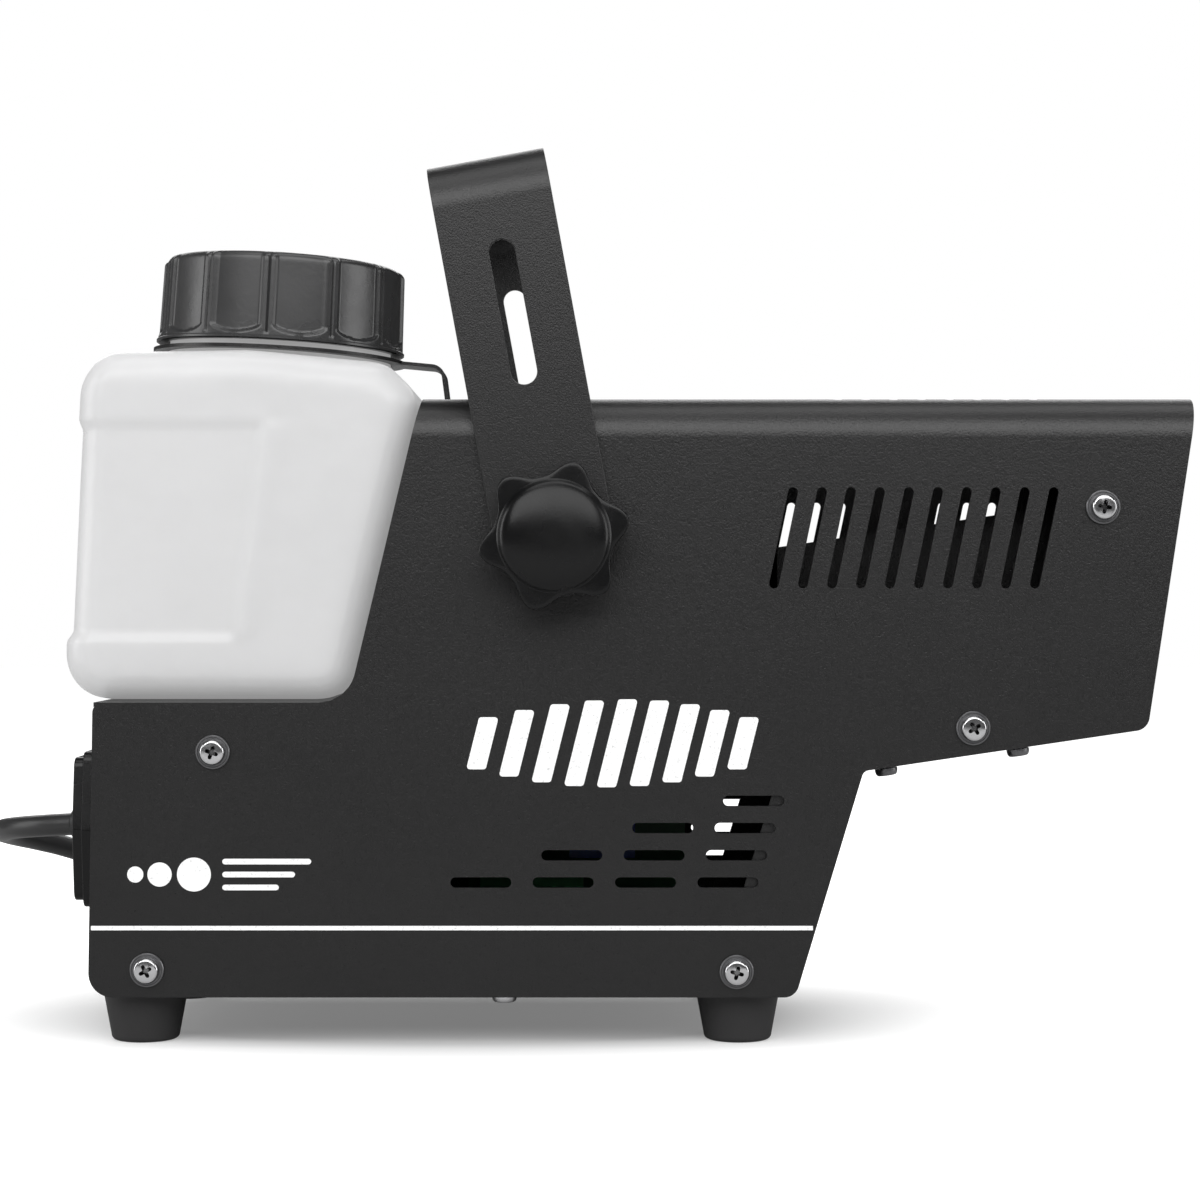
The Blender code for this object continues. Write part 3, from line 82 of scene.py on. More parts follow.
class Axis(Enum):
    """The axis that an outline faces."""

    X = "X"
    Y = "Y"
    Z = "Z"

    def place(self, a: float, b: float, t: float) -> Triple:
        """A point with outline coordinates a and b, at t along the axis."""
        return {"X": (t, a, b), "Y": (a, t, b), "Z": (a, b, t)}[self.value]


class Cut(Enum):
    """How one solid changes another."""

    REMOVE = "DIFFERENCE"
    KEEP = "INTERSECT"
    ADD = "UNION"


# Finishes


@dataclass(frozen=True)
class NodeDesk:
    """A material's node tree with short ways to add to it."""

    material: bpy.types.Material

    @classmethod
    def start(cls, name: str) -> "NodeDesk":
        """A new material with only a Principled shader and its output.

        Args:
            name: the material's name.

        Returns:
            The desk of the new material.
        """
        material = bpy.data.materials.new(name)
        material.use_nodes = True
        return cls(material)

    @property
    def shader(self) -> bpy.types.Node:
        """The Principled shader."""
        return self.material.node_tree.nodes["Principled BSDF"]

    def set(self, **values: Any) -> None:
        """Sets the shader's own sockets, with underscores for the spaces in their names."""
        for name, value in values.items():
            self.shader.inputs[name.replace("_", " ")].default_value = value

    def add(self, kind: str, **inputs: Any) -> bpy.types.Node:
        """Adds a node and sets its inputs by name.

        Args:
            kind: the node's type, without the word ShaderNode.
            inputs: input values by name, with underscores for spaces.

        Returns:
            The new node.
        """
        node = self.material.node_tree.nodes.new("ShaderNode" + kind)
        for name, value in inputs.items():
            node.inputs[name.replace("_", " ")].default_value = value
        return node

    def link(self, source: bpy.types.NodeSocket, target: bpy.types.NodeSocket) -> None:
        """Joins an output to an input."""
        self.material.node_tree.links.new(source, target)

    def place(self) -> bpy.types.NodeSocket:
        """The point on the object, in metres."""
        return self.add("TexCoord").outputs["Object"]

    def noise(self, scale: float, detail: float = 3.0, roughness: float = 0.5) -> bpy.types.NodeSocket:
        """Noise of a scale in waves per metre, from 0 to 1.

        Args:
            scale: waves per metre.
            detail: how many finer layers it has.
            roughness: how strong those layers are.

        Returns:
            The noise.
        """
        node = self.add("TexNoise", Scale=scale, Detail=detail, Roughness=roughness)
        self.link(self.place(), node.inputs["Vector"])
        return node.outputs["Fac"]

    def ramp(self, value: bpy.types.NodeSocket, low: Pair, high: Pair) -> bpy.types.NodeSocket:
        """The value mapped from (value, result) at low to (value, result) at high, and held beyond.

        Args:
            value: what is mapped.
            low: a value and the result there.
            high: another value and the result there.

        Returns:
            The result.
        """
        node = self.add("MapRange")
        for name, number in zip(("From Min", "To Min", "From Max", "To Max"), (*low, *high)):
            node.inputs[name].default_value = number
        self.link(value, node.inputs["Value"])
        return node.outputs["Result"]

    def between(self, fac: bpy.types.NodeSocket, first: Triple, second: Triple) -> bpy.types.NodeSocket:
        """A colour between two others.

        Args:
            fac: 0 for the first colour and 1 for the second.
            first: a colour.
            second: another colour.

        Returns:
            The colour between them.
        """
        node = self.add("Mix")
        node.data_type = "RGBA"
        self.link(fac, node.inputs[0])
        node.inputs[6].default_value = (*first, 1)
        node.inputs[7].default_value = (*second, 1)
        return node.outputs[2]

    def tint(self, value: bpy.types.NodeSocket, span: Pair, first: Triple, second: Triple) -> None:
        """Colours the surface from one colour to another as a value passes over a span."""
        colour = self.between(self.ramp(value, (span[0], 0), (span[1], 1)), first, second)
        self.link(colour, self.shader.inputs["Base Color"])

    def gloss(self, value: bpy.types.NodeSocket, low: Pair, high: Pair) -> None:
        """Sets the roughness from (value, roughness) at low to (value, roughness) at high."""
        self.link(self.ramp(value, low, high), self.shader.inputs["Roughness"])

    def bump(self, *layers: tuple[bpy.types.NodeSocket, float]) -> None:
        """Raises the surface by each layer's height in metres.

        Args:
            layers: a height from 0 to 1 with its depth, for each layer.
        """
        normal = None
        for height, depth in layers:
            node = self.add("Bump", Strength=1.0, Distance=depth)
            self.link(height, node.inputs["Height"])
            if normal:
                self.link(normal, node.inputs["Normal"])
            normal = node.outputs["Normal"]
        self.link(normal, self.shader.inputs["Normal"])


def shade(colour: Triple, factor: float) -> Triple:
    """The colour made lighter or darker."""
    return tuple(min(1.0, part * factor) for part in colour)


@dataclass(frozen=True)
class PowderCoat:
    """Fine-grained powder coat on steel sheet."""

    colour: Triple = (0.0048, 0.0046, 0.0048)
    roughness: float = 0.32
    grain: float = 2100.0
    depth: float = 0.00009

    def material(self) -> bpy.types.Material:
        """Two sizes of grain, with dust that lightens the coat a little in patches.

        Returns:
            The material.
        """
        desk = NodeDesk.start("powder_coat")
        desk.set(Specular_IOR_Level=0.42)
        desk.tint(desk.noise(38, 5), (0.3, 0.7), shade(self.colour, 0.9), shade(self.colour, 1.13))
        fine = desk.noise(self.grain, 2, 0.6)
        desk.gloss(fine, (0.25, self.roughness - 0.06), (0.75, self.roughness + 0.10))
        desk.bump((fine, self.depth), (desk.noise(self.grain / 3.2, 2), self.depth * 0.4))
        return desk.material


@dataclass(frozen=True)
class Moulded:
    """Moulded plastic or rubber."""

    name: str
    colour: Triple
    roughness: float
    grain: float = 900.0
    depth: float = 0.00003
    specular: float = 0.5
    variation: float = 0.08

    def material(self) -> bpy.types.Material:
        """A soft mottling of colour and gloss with a fine spark-eroded texture.

        Returns:
            The material.
        """
        desk = NodeDesk.start(self.name)
        desk.set(Specular_IOR_Level=self.specular)
        clouds = desk.noise(60, 4)
        darker, lighter = shade(self.colour, 1 - self.variation), shade(self.colour, 1 + self.variation)
        desk.tint(clouds, (0.3, 0.7), darker, lighter)
        desk.gloss(clouds, (0.35, max(0.05, self.roughness - 0.05)), (0.65, self.roughness + 0.07))
        desk.bump((desk.noise(self.grain, 3), self.depth))
        return desk.material


@dataclass(frozen=True)
class BottlePlastic:
    """Natural blow-moulded polyethylene, which light goes into."""

    colour: Triple = (0.35, 0.35, 0.354)
    roughness: float = 0.36
    painted_glow: float = 0.27

    def material(self) -> bpy.types.Material:
        """A milky scatter with slow waves from the mould and faint scuffs, plus an even white emission that is
        painted glow.

        Returns:
            The material.
        """
        desk = NodeDesk.start("bottle_polyethylene")
        desk.set(Specular_IOR_Level=0.38, Subsurface_Weight=0.35, Subsurface_Scale=0.006)
        desk.set(Subsurface_Radius=(1.0, 0.98, 0.95))
        # Painted glow: the bottle gives out white light of its own, though it is no lamp.
        desk.set(Emission_Color=(1.0, 1.0, 1.0, 1.0), Emission_Strength=self.painted_glow)
        desk.tint(desk.noise(24, 4), (0.3, 0.7), shade(self.colour, 0.96), shade(self.colour, 1.02))
        scuffs = desk.noise(420, 6, 0.7)
        desk.gloss(scuffs, (0.4, self.roughness - 0.04), (0.75, self.roughness + 0.12))
        desk.bump((desk.noise(55, 2), 0.0006), (scuffs, 0.00002))
        return desk.material


@dataclass(frozen=True)
class Metal:
    """Bare, plated or turned metal."""

    name: str
    colour: Triple
    roughness: float
    streaks: Triple = (1.0, 1.0, 1.0)
    scale: float = 300.0
    depth: float = 0.00001
    recess_shade: float = 0.0

    def material(self) -> bpy.types.Material:
        """Streaks along the direction of working, spots of dulled surface, and painted shade that darkens any
        recess.

        Returns:
            The material.
        """
        desk = NodeDesk.start(self.name)
        desk.set(Metallic=1.0)
        spots = desk.noise(80, 4)
        tint = desk.between(desk.ramp(spots, (0.3, 0), (0.7, 1)), shade(self.colour, 0.86), self.colour)
        # Painted shade: ambient occlusion darkens the colour towards near black inside recesses such as the
        # screws' cross.
        if self.recess_shade:
            hollow = desk.add("AmbientOcclusion", Distance=self.recess_shade)
            hollow.only_local = True
            hollow.samples = 6
            unshaded = desk.ramp(hollow.outputs["AO"], (0.45, 0), (0.85, 1))
            shaded_tint = desk.between(unshaded, shade(self.colour, 0.05), self.colour)
            desk.link(tint, shaded_tint.node.inputs[7])
            tint = shaded_tint
        desk.link(tint, desk.shader.inputs["Base Color"])
        mapping = desk.add("Mapping", Scale=self.streaks)
        desk.link(desk.place(), mapping.inputs["Vector"])
        lines = desk.add("TexNoise", Scale=self.scale, Detail=3.0)
        desk.link(mapping.outputs["Vector"], lines.inputs["Vector"])
        low, high = max(0.04, self.roughness - 0.07), self.roughness + 0.12
        desk.gloss(lines.outputs["Fac"], (0.3, low), (0.7, high))
        desk.bump((lines.outputs["Fac"], self.depth))
        return desk.material


@dataclass(frozen=True)
class Ink:
    """White screen print on powder coat."""

    colour: Triple = (0.86, 0.86, 0.86)

    def material(self) -> bpy.types.Material:
        """An uneven film that takes the grain of the coat below it.

        Returns:
            The material.
        """
        desk = NodeDesk.start("white_print")
        grain = desk.noise(1500, 3)
        desk.tint(grain, (0.28, 0.42), shade(self.colour, 0.72), self.colour)
        desk.gloss(grain, (0.3, 0.5), (0.7, 0.7))
        desk.bump((grain, 0.00008))
        return desk.material


@dataclass(frozen=True)
class Wool:
    """Ceramic fibre felt."""

    colour: Triple = (0.74, 0.71, 0.64)

    def material(self) -> bpy.types.Material:
        """Matted fibres in two directions.

        Returns:
            The material.
        """
        desk = NodeDesk.start("ceramic_felt")
        desk.set(Roughness=0.95)
        fibres = desk.noise(700, 8, 0.8)
        desk.tint(fibres, (0.3, 0.7), shade(self.colour, 0.75), self.colour)
        desk.bump((fibres, 0.0008))
        return desk.material


@dataclass
class FinishBook:
    """Every finish of the machine, made once and kept by the record's material slot."""

    made: dict[str, bpy.types.Material] = field(default_factory=dict)

    def finish_for(self, slot: str) -> bpy.types.Material:
        """The material of a slot of the record.

        Args:
            slot: the slot's name.

        Returns:
            The slot's material, which is made on first use.
        """
        if slot not in self.made:
            self.made[slot] = self.recipes()[slot].material()
        return self.made[slot]

    @staticmethod
    def recipes() -> dict[str, Any]:
        """The finish that each slot has.

        Returns:
            A finish by the name of its slot.
        """
        return {
            "black_paint": PowderCoat(),
            "knob_plastic": Moulded("knob_moulding", (0.0033, 0.0033, 0.0035), 0.25, 1400, 0.00002, 0.24),
            "cap_plastic": Moulded("cap_moulding", (0.023, 0.023, 0.0235), 0.30, 700, 0.00003, 0.5),
            "bottle_plastic": BottlePlastic(),
            "foot_rubber": Moulded("foot_rubber", (0.022, 0.0215, 0.022), 0.62, 1200, 0.00005, 0.35),
            "cord_jacket": Moulded("lead_jacket", (0.017, 0.017, 0.0175), 0.40, 1600, 0.00003),
            # The bright plating paints shade into its recesses, such as the cross of each screw head.
            "chrome_screw": Metal("bright_plating", (0.60, 0.60, 0.61), 0.13, recess_shade=0.0016),
            "black_screw": Metal("black_oxide", (0.16, 0.16, 0.165), 0.34),
            "zinc_plate": Metal("zinc_plating", (0.60, 0.61, 0.62), 0.34, (1.0, 1.0, 12.0)),
            "aluminium": Metal("cast_aluminium", (0.66, 0.66, 0.67), 0.42, scale=900, depth=0.00006),
            "brass": Metal("turned_brass", (0.72, 0.55, 0.27), 0.25, (14.0, 1.0, 1.0)),
            "copper": Metal("drawn_copper", (0.74, 0.42, 0.28), 0.28),
            "foam": Moulded("liner_foam", (0.78, 0.78, 0.76), 0.8, 500, 0.0001, 0.2),
            "silicone": Moulded("silicone_hose", (0.70, 0.71, 0.69), 0.3, 300),
            "coil_case": Moulded("coil_moulding", (0.13, 0.13, 0.135), 0.5),
            "ceramic_wool": Wool(),
            "bakelite": Moulded("phenolic_moulding", (0.085, 0.045, 0.03), 0.35),
            "board": Moulded("solder_mask", (0.03, 0.12, 0.05), 0.35, 250, 0.00006, variation=0.25),
            "relay_case": Moulded("relay_moulding", (0.035, 0.09, 0.33), 0.3),
            "terminal_case": Moulded("terminal_moulding", (0.07, 0.32, 0.13), 0.4),
            "white_print": Ink(),
        }


# Mesh work


def rounded(corners: Sequence[Corner], steps: int = 10, closed: bool = True) -> list[Pair]:
    """The outline through corners, each rounded by an arc.

    Args:
        corners: (a, b, radius) of each corner, in order.
        steps: straight pieces in each arc.
        closed: whether the last corner joins the first.

    Returns:
        The outline's points.
    """
    outline: list[Pair] = []
    for i, (a, b, radius) in enumerate(corners):
        here = Vector((a, b))
        if radius <= 0 or (not closed and i in (0, len(corners) - 1)):
            outline.append((a, b))
            continue
        before = (Vector(corners[i - 1][:2]) - here).normalized()
        after = (Vector(corners[(i + 1) % len(corners)][:2]) - here).normalized()
        half = before.angle(after) / 2
        centre = here + (before + after).normalized() * (radius / sin(half))
        first = here + before * (radius / tan(half)) - centre
        last = here + after * (radius / tan(half)) - centre
        sweep = atan2(first.x * last.y - first.y * last.x, first.dot(last))
        for k in range(steps + 1):
            outline.append(tuple(centre + Matrix.Rotation(sweep * k / steps, 2) @ first))
    return outline


def drawn_in(corners: Sequence[Corner], distance: float) -> list[Corner]:
    """Corners, going anticlockwise, moved inward with their radii reduced to match.

    Args:
        corners: (a, b, radius) of each corner.
        distance: how far each side moves.

    Returns:
        The moved corners.
    """
    points = [Vector((a, b)) for a, b, _ in corners]
    moved = []
    for i, (_, _, radius) in enumerate(corners):
        before = (points[i] - points[i - 1]).normalized()
        after = (points[(i + 1) % len(points)] - points[i]).normalized()
        normals = Vector((-before.y, before.x)), Vector((-after.y, after.x))
        place = points[i] + (normals[0] + normals[1]) * (distance / (1 + normals[0].dot(normals[1])))
        moved.append((place.x, place.y, max(radius - distance, 0.0004)))
    return moved


def beside(path: Sequence[Pair], distance: float) -> list[Pair]:
    """The open path moved sideways to its left, with mitred corners.

    Args:
        path: the path's points.
        distance: how far it moves.

    Returns:
        The moved path.
    """
    points = [Vector(p) for p in path]
    moved = []
    for i, point in enumerate(points):
        sides = []
        if i > 0:
            sides.append((point - points[i - 1]).normalized())
        if i < len(points) - 1:
            sides.append((points[i + 1] - point).normalized())
        normals = [Vector((-side.y, side.x)) for side in sides]
        mean = sum(normals, Vector((0, 0))).normalized()
        moved.append(tuple(point + mean * (distance / mean.dot(normals[0]))))
    return moved


def eased(share: Any) -> Any:
    """A share from 0 to 1 that starts and stops gently."""
    return share * share * (3 - 2 * share)


def middle_of(node: str) -> Triple:
    """The middle of a frame node's box."""
    return tuple((a + b) / 2 for a, b in zip(*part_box(node)))


def circle(radius: float, height: float, sides: int) -> list[Triple]:
    """A ring of points about Z."""
    angles = [2 * pi * i / sides for i in range(sides)]
    return [(radius * cos(angle), radius * sin(angle), height) for angle in angles]


def shaped_ring(reach: Callable[[float], float], height: float, sides: int) -> list[Triple]:
    """A ring of points about Z whose radius changes with the angle.

    Args:
        reach: the radius at an angle.
        height: the height of the ring.
        sides: the number of points.

    Returns:
        The points.
    """
    ring = []
    for i in range(sides):
        angle = 2 * pi * i / sides
        radius = reach(angle)
        ring.append((radius * cos(angle), radius * sin(angle), height))
    return ring


def disc(a: float, b: float, radius: float, sides: int) -> list[Pair]:
    """A round outline about (a, b)."""
    return [(a + u, b + v) for u, v, _ in circle(radius, 0, sides)]


def capsule(length: float, width: float, steps: int = 12) -> list[Pair]:
    """The outline of a slot with round ends, lying along its first axis.

    Args:
        length: the slot's whole length.
        width: its width.
        steps: straight pieces in each end.

    Returns:
        The outline's points.
    """
    reach = (length - width) / 2
    ends = []
    for side, start in ((1, -pi / 2), (-1, pi / 2)):
        for k in range(steps + 1):
            angle = start + pi * k / steps
            ends.append((side * reach + width / 2 * cos(angle), width / 2 * sin(angle)))
    return ends


def turned_outline(outline: Iterable[Pair], lean: float, a: float = 0, b: float = 0) -> list[Pair]:
    """An outline turned by lean and then moved by (a, b)."""
    return [(a + u * cos(lean) - v * sin(lean), b + u * sin(lean) + v * cos(lean)) for u, v in outline]


@dataclass
class Shape:
    """A mesh that is being built."""

    mesh: bmesh.types.BMesh = field(default_factory=bmesh.new)

    def prism(self, outline: Sequence[Pair], low: float, high: float, axis: Axis = Axis.Y) -> "Shape":
        """Adds a straight solid of the outline between two planes.

        Args:
            outline: the solid's outline, across the axis.
            low: the first plane, along the axis.
            high: the second plane.
            axis: the axis that the outline faces.

        Returns:
            The shape itself.
        """
        near = [self.mesh.verts.new(axis.place(a, b, low)) for a, b in outline]
        far = [self.mesh.verts.new(axis.place(a, b, high)) for a, b in outline]
        self.mesh.faces.new(near)
        self.mesh.faces.new(far[::-1])
        for i in range(len(outline)):
            self.mesh.faces.new((near[i - 1], far[i - 1], far[i], near[i]))
        return self

    def block(self, low: Triple, high: Triple) -> "Shape":
        """Adds a box between two corners."""
        outline = [(low[0], low[2]), (high[0], low[2]), (high[0], high[2]), (low[0], high[2])]
        return self.prism(outline, low[1], high[1])

    def loft(self, rings: Sequence[Sequence[Any]], closed: bool = False) -> "Shape":
        """Adds a skin over rings of points, closed by flat ends or, if closed, joined round.

        Args:
            rings: rings with the same number of points.
            closed: whether the last ring joins the first.

        Returns:
            The shape itself.
        """
        made = [[self.mesh.verts.new(point) for point in ring] for ring in rings]
        pairs = list(zip(made, made[1:]))
        if closed:
            pairs.append((made[-1], made[0]))
        else:
            self.mesh.faces.new(made[0])
            self.mesh.faces.new(made[-1][::-1])
        for low, high in pairs:
            for i in range(len(low)):
                self.mesh.faces.new((low[i - 1], low[i], high[i], high[i - 1]))
        return self

    def turned(self, profile: Iterable[Pair], sides: int = 48, closed: bool = False) -> "Shape":
        """Adds a round solid about Z from a profile of (diameter, height)."""
        return self.loft([circle(diameter / 2, height, sides) for diameter, height in profile], closed)

    def moved(self, matrix: Matrix) -> "Shape":
        """Moves all of it by a matrix."""
        self.mesh.transform(matrix)
        return self

    def data(self, name: str) -> bpy.types.Mesh:
        """The finished mesh, with its faces pointing out.

        Args:
            name: the mesh's name.

        Returns:
            The mesh. The shape can't be used after it.
        """
        bmesh.ops.recalc_face_normals(self.mesh, faces=self.mesh.faces)
        data = bpy.data.meshes.new(name)
        self.mesh.to_mesh(data)
        self.mesh.free()
        return data


def stand(place: Triple, turn: Triple = (0, 0, 0)) -> Matrix:
    """The matrix that turns a shape by angles about X, Y and Z and then moves it."""
    about_x, about_y, about_z = (Matrix.Rotation(angle, 4, axis) for angle, axis in zip(turn, "XYZ"))
    return Matrix.Translation(place) @ (about_z @ about_y @ about_x)


def linked(name: str, data: Any) -> bpy.types.Object:
    """A new object with its data, linked to the scene.

    Args:
        name: the object's name.
        data: its mesh, curve, light or camera.

    Returns:
        The object.
    """
    made = bpy.data.objects.new(name, data)
    bpy.context.scene.collection.objects.link(made)
    return made


def settled(piece: bpy.types.Object) -> None:
    """Applies every modifier on the piece.

    Args:
        piece: the piece, which keeps its place and name.
    """
    graph = bpy.context.evaluated_depsgraph_get()
    data = bpy.data.meshes.new_from_object(piece.evaluated_get(graph), depsgraph=graph)
    piece.modifiers.clear()
    old, piece.data = piece.data, data
    bpy.data.meshes.remove(old)


def smoothed(data: bpy.types.Mesh, angle: float = 32.0) -> None:
    """Shades the mesh smooth, apart from its sharp edges."""
    data.shade_smooth()
    data.set_sharp_from_angle(angle=radians(angle))


def levelled(piece: bpy.types.Object) -> None:
    """Keeps wide flat faces flat where they meet rounded edges.

    Args:
        piece: the piece, already shaded smooth.
    """
    weigh = piece.modifiers.new("level", "WEIGHTED_NORMAL")
    weigh.keep_sharp = True
    weigh.weight = 100
    settled(piece)


@dataclass
class Bench:
    """Makes pieces and puts them on the machine."""

    finishes: FinishBook = field(default_factory=FinishBook)
    pieces: int = 0

    def raw(self, name: str, shape: Shape) -> bpy.types.Object:
        """An object of the shape, linked to the scene."""
        return linked(name, shape.data(name))

    def carve(self, piece: bpy.types.Object, cut: Cut, *tools: Shape) -> None:
        """Changes a piece by solids that are then thrown away.

        Args:
            piece: the piece.
            cut: whether the tools are removed, kept or added.
            tools: the solids.
        """
        made = [self.raw(f"{piece.name}_tool_{i}", tool) for i, tool in enumerate(tools)]
        for tool in made:
            modifier = piece.modifiers.new(tool.name, "BOOLEAN")
            modifier.operation = cut.value
            modifier.object = tool
        settled(piece)
        for tool in made:
            data = tool.data
            bpy.data.objects.remove(tool)
            bpy.data.meshes.remove(data)

    def soften(self, piece: bpy.types.Object, width: float, segments: int = 2, angle: float = 40) -> None:
        """Rounds the piece's sharp edges.

        Args:
            piece: the piece.
            width: the rounding's width.
            segments: flat strips in each rounding.
            angle: the least angle of an edge that is rounded, in degrees.
        """
        bevel = piece.modifiers.new("edges", "BEVEL")
        bevel.width = width
        bevel.segments = segments
        bevel.limit_method = "ANGLE"
        bevel.angle_limit = radians(angle)
        settled(piece)

    def place(
        self,
        piece: bpy.types.Object,
        body: str,
        slot: str,
        replaces: Sequence[str] = (),
        angle: float | None = 32,
    ) -> bpy.types.Object:
        """Dresses a piece, and joins it to a body.

        Args:
            piece: the piece, already where it belongs.
            body: the body that it moves with.
            slot: the record's slot, or a finish of the book's own.
            replaces: the CAD nodes that it stands for.
            angle: the sharpest angle that is shaded smooth, or None to leave the shading.

        Returns:
            The piece.
        """
        piece.data.materials.clear()
        piece.data.materials.append(self.finishes.finish_for(slot))
        if angle is not None and piece.type == "MESH":
            smoothed(piece.data, angle)
            levelled(piece)
        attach(piece, body)
        if replaces:
            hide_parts(*replaces)
        self.pieces += 1
        log.info("%s rides on %s in %s", piece.name, body, slot)
        return piece


@dataclass(frozen=True)
class Datum:
    """The places that the machine's pieces are set from, read from the frame."""

    pivot_from_rear: float = 0.1247
    pivot_below_top: float = 0.0377
    sheet: float = 0.0012

    @property
    def pivot(self) -> Vector:
        """The handle's pivot."""
        joint = next(j for j in frame["joints"] if j["name"] == "handle_swing")
        return Vector(joint["pos_m"])

    @property
    def rear(self) -> float:
        """X of the housing's rear edge at the floor."""
        return self.pivot.x - self.pivot_from_rear

    @property
    def top(self) -> float:
        """Z of the housing's top."""
        return self.pivot.z + self.pivot_below_top

    @property
    def half_width(self) -> float:
        """Half the housing's width."""
        low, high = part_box("cover_shell")
        return (high[1] - low[1]) / 2

    def at(self, from_rear: float, y: float, z: float) -> Triple:
        """A point measured from the housing's rear edge."""
        return (self.rear + from_rear, y, z)


# The folded housing


@dataclass(frozen=True)
class FoldedCover:
    """The powder-coated cover: one sheet folded over the top and down both sides, with its vents."""

    datum: Datum
    length: float = 0.2965
    foot: float = 0.01335
    seat: float = 0.0921
    seat_length: float = 0.0694
    nose: float = 0.0850
    nose_length: float = 0.0759
    wall_lean: float = radians(13.4)
    front_lean: float = radians(8.6)
    nose_slope: float = radians(8.4)
    neck_lean: float = radians(16.8)
    bend: float = 0.011
    past: float = 0.002
    edge: float = 0.00022
    side_slot: Pair = (0.0276, 0.0026)
    side_slots: int = 10
    side_slot_pitch: float = 0.00774
    side_slot_lean: float = radians(11.7)
    side_slots_from: Pair = (0.0411, 0.0378)
    top_slot: Pair = (0.035, 0.0026)
    top_slots: int = 8
    top_slot_pitch: float = 0.00757
    top_slots_from_front: float = 0.0424
    lower_slot: Pair = (0.0163, 0.0028)
    lower_rows: int = 4
    lower_pitch: Pair = (0.0220, 0.00727)
    lower_first: Pair = (0.1709, 0.0307)
    lower_shift: float = 0.0023
    far_drop: float = 0.0018
    screw_hole: float = 0.0042
    stud_hole: float = 0.0088

    def wall_x(self, z: float) -> float:
        """Where the slanted wall behind the bottle stands at height z, from the rear edge."""
        return self.seat_length + (z - self.seat) * tan(self.wall_lean)

    def front_x(self, z: float) -> float:
        """Where the leaning front edge stands at height z, from the rear edge."""
        return self.length - (self.datum.top - z) * tan(self.front_lean)

    @property
    def nose_back(self) -> Pair:
        """The inner corner where the neck meets the nose, from the rear edge and the floor."""
        x = self.front_x(self.nose) - self.nose_length
        return x, self.nose - self.nose_length * tan(self.nose_slope)

    @property
    def neck_foot(self) -> float:
        """Where the neck meets the bottom, from the rear edge."""
        x, z = self.nose_back
        return x - (z - self.foot) * tan(self.neck_lean)

    def screw_places(self) -> list[tuple[str, float, float]]:
        """The name and the place of each screw through a side, from the rear edge and the floor.

        Returns:
            Each screw's name, its distance from the rear edge and its height.
        """
        x, z = self.nose_back
        forward = 0.0292
        high = self.datum.top - 0.0296
        return [
            ("seat", 0.0334, self.seat - 0.0132),
            ("rear", 0.0158, self.foot + 0.0074),
            ("neck", self.neck_foot - 0.0157, self.foot + 0.0069),
            ("nose", x + forward, z + forward * tan(self.nose_slope) + 0.0072),
            ("front", self.front_x(high) - 0.0210, high),
        ]

    def side_outline(self) -> list[Pair]:
        """The side's outline in world X and Z.

        Returns:
            The outline's points.
        """
        top = self.datum.top + self.past
        x, z = self.nose_back
        corners = [
            (0.0, self.foot, 0.0065),
            (self.neck_foot, self.foot, 0.004),
            (x, z, 0.002),
            (self.front_x(self.nose), self.nose, 0.004),
            (self.front_x(top), top, 0),
            (self.wall_x(top), top, 0),
            (self.seat_length, self.seat, 0.010),
            (0.0012, self.seat, 0.0027),
        ]
        return [(self.datum.rear + a, b) for a, b in rounded(corners, 12)]

    def section(self, inset: float, bottom: float) -> list[Pair]:
        """The cover's section across X, moved inward by inset.

        Args:
            inset: how far each side moves inward.
            bottom: the height of its lower edge.

        Returns:
            The section's points in Y and Z.
        """
        half, top = self.datum.half_width - inset, self.datum.top - inset
        radius = self.bend - inset
        return rounded([(-half, bottom, 0), (half, bottom, 0), (half, top, radius), (-half, top, radius)], 16)

    def vents(self) -> list[Shape]:
        """Cutters for the slots in both sides and the top.

        Returns:
            The cutters for the side, the lower near, the lower far and the top slots.
        """
        datum, half = self.datum, self.datum.half_width + self.past
        first = datum.rear + self.length - self.side_slots_from[0]
        height = datum.top - self.side_slots_from[1]
        side, near, far, top = Shape(), Shape(), Shape(), Shape()
        for i in range(self.side_slots):
            x = first - i * self.side_slot_pitch
            lean = pi / 2 - self.side_slot_lean
            side.prism(turned_outline(capsule(*self.side_slot), lean, x, height), -half, half)
        for row in range(self.lower_rows):
            rise = self.foot + self.lower_first[1] + row * self.lower_pitch[1]
            for i in range(self.lower_rows - row):
                x = datum.rear + self.lower_first[0] + row * self.lower_shift - i * self.lower_pitch[0]
                near.prism(turned_outline(capsule(*self.lower_slot), 0, x, rise), -half, 0)
                far.prism(turned_outline(capsule(*self.lower_slot), 0, x, rise - self.far_drop), 0, half)
        reach = datum.half_width - self.bend + 0.0026 - self.top_slot[0] / 2
        for i in range(self.top_slots):
            x = datum.rear + self.length - self.top_slots_from_front - i * self.top_slot_pitch
            for side_sign in (-1, 1):
                outline = turned_outline(capsule(*self.top_slot), pi / 2, x, side_sign * reach)
                top.prism(outline, datum.top - self.bend, datum.top + self.past, Axis.Z)
        return [side, near, far, top]

    def holes(self) -> Shape:
        """Cutters for the screws, the handle's studs and the neck plate's screw.

        Returns:
            One shape with every hole's cutter.
        """
        datum, half = self.datum, self.datum.half_width + self.past
        holes = Shape()
        for _, x, z in self.screw_places():
            holes.prism(disc(datum.rear + x, z, self.screw_hole / 2, 20), -half, half)
        holes.prism(disc(datum.pivot.x, datum.pivot.z, self.stud_hole / 2, 28), -half, half)
        outline = disc(middle_of("neck_plate_screw")[0], 0, self.screw_hole / 2, 20)
        return holes.prism(outline, datum.top - 2 * self.past, datum.top + self.past, Axis.Z)

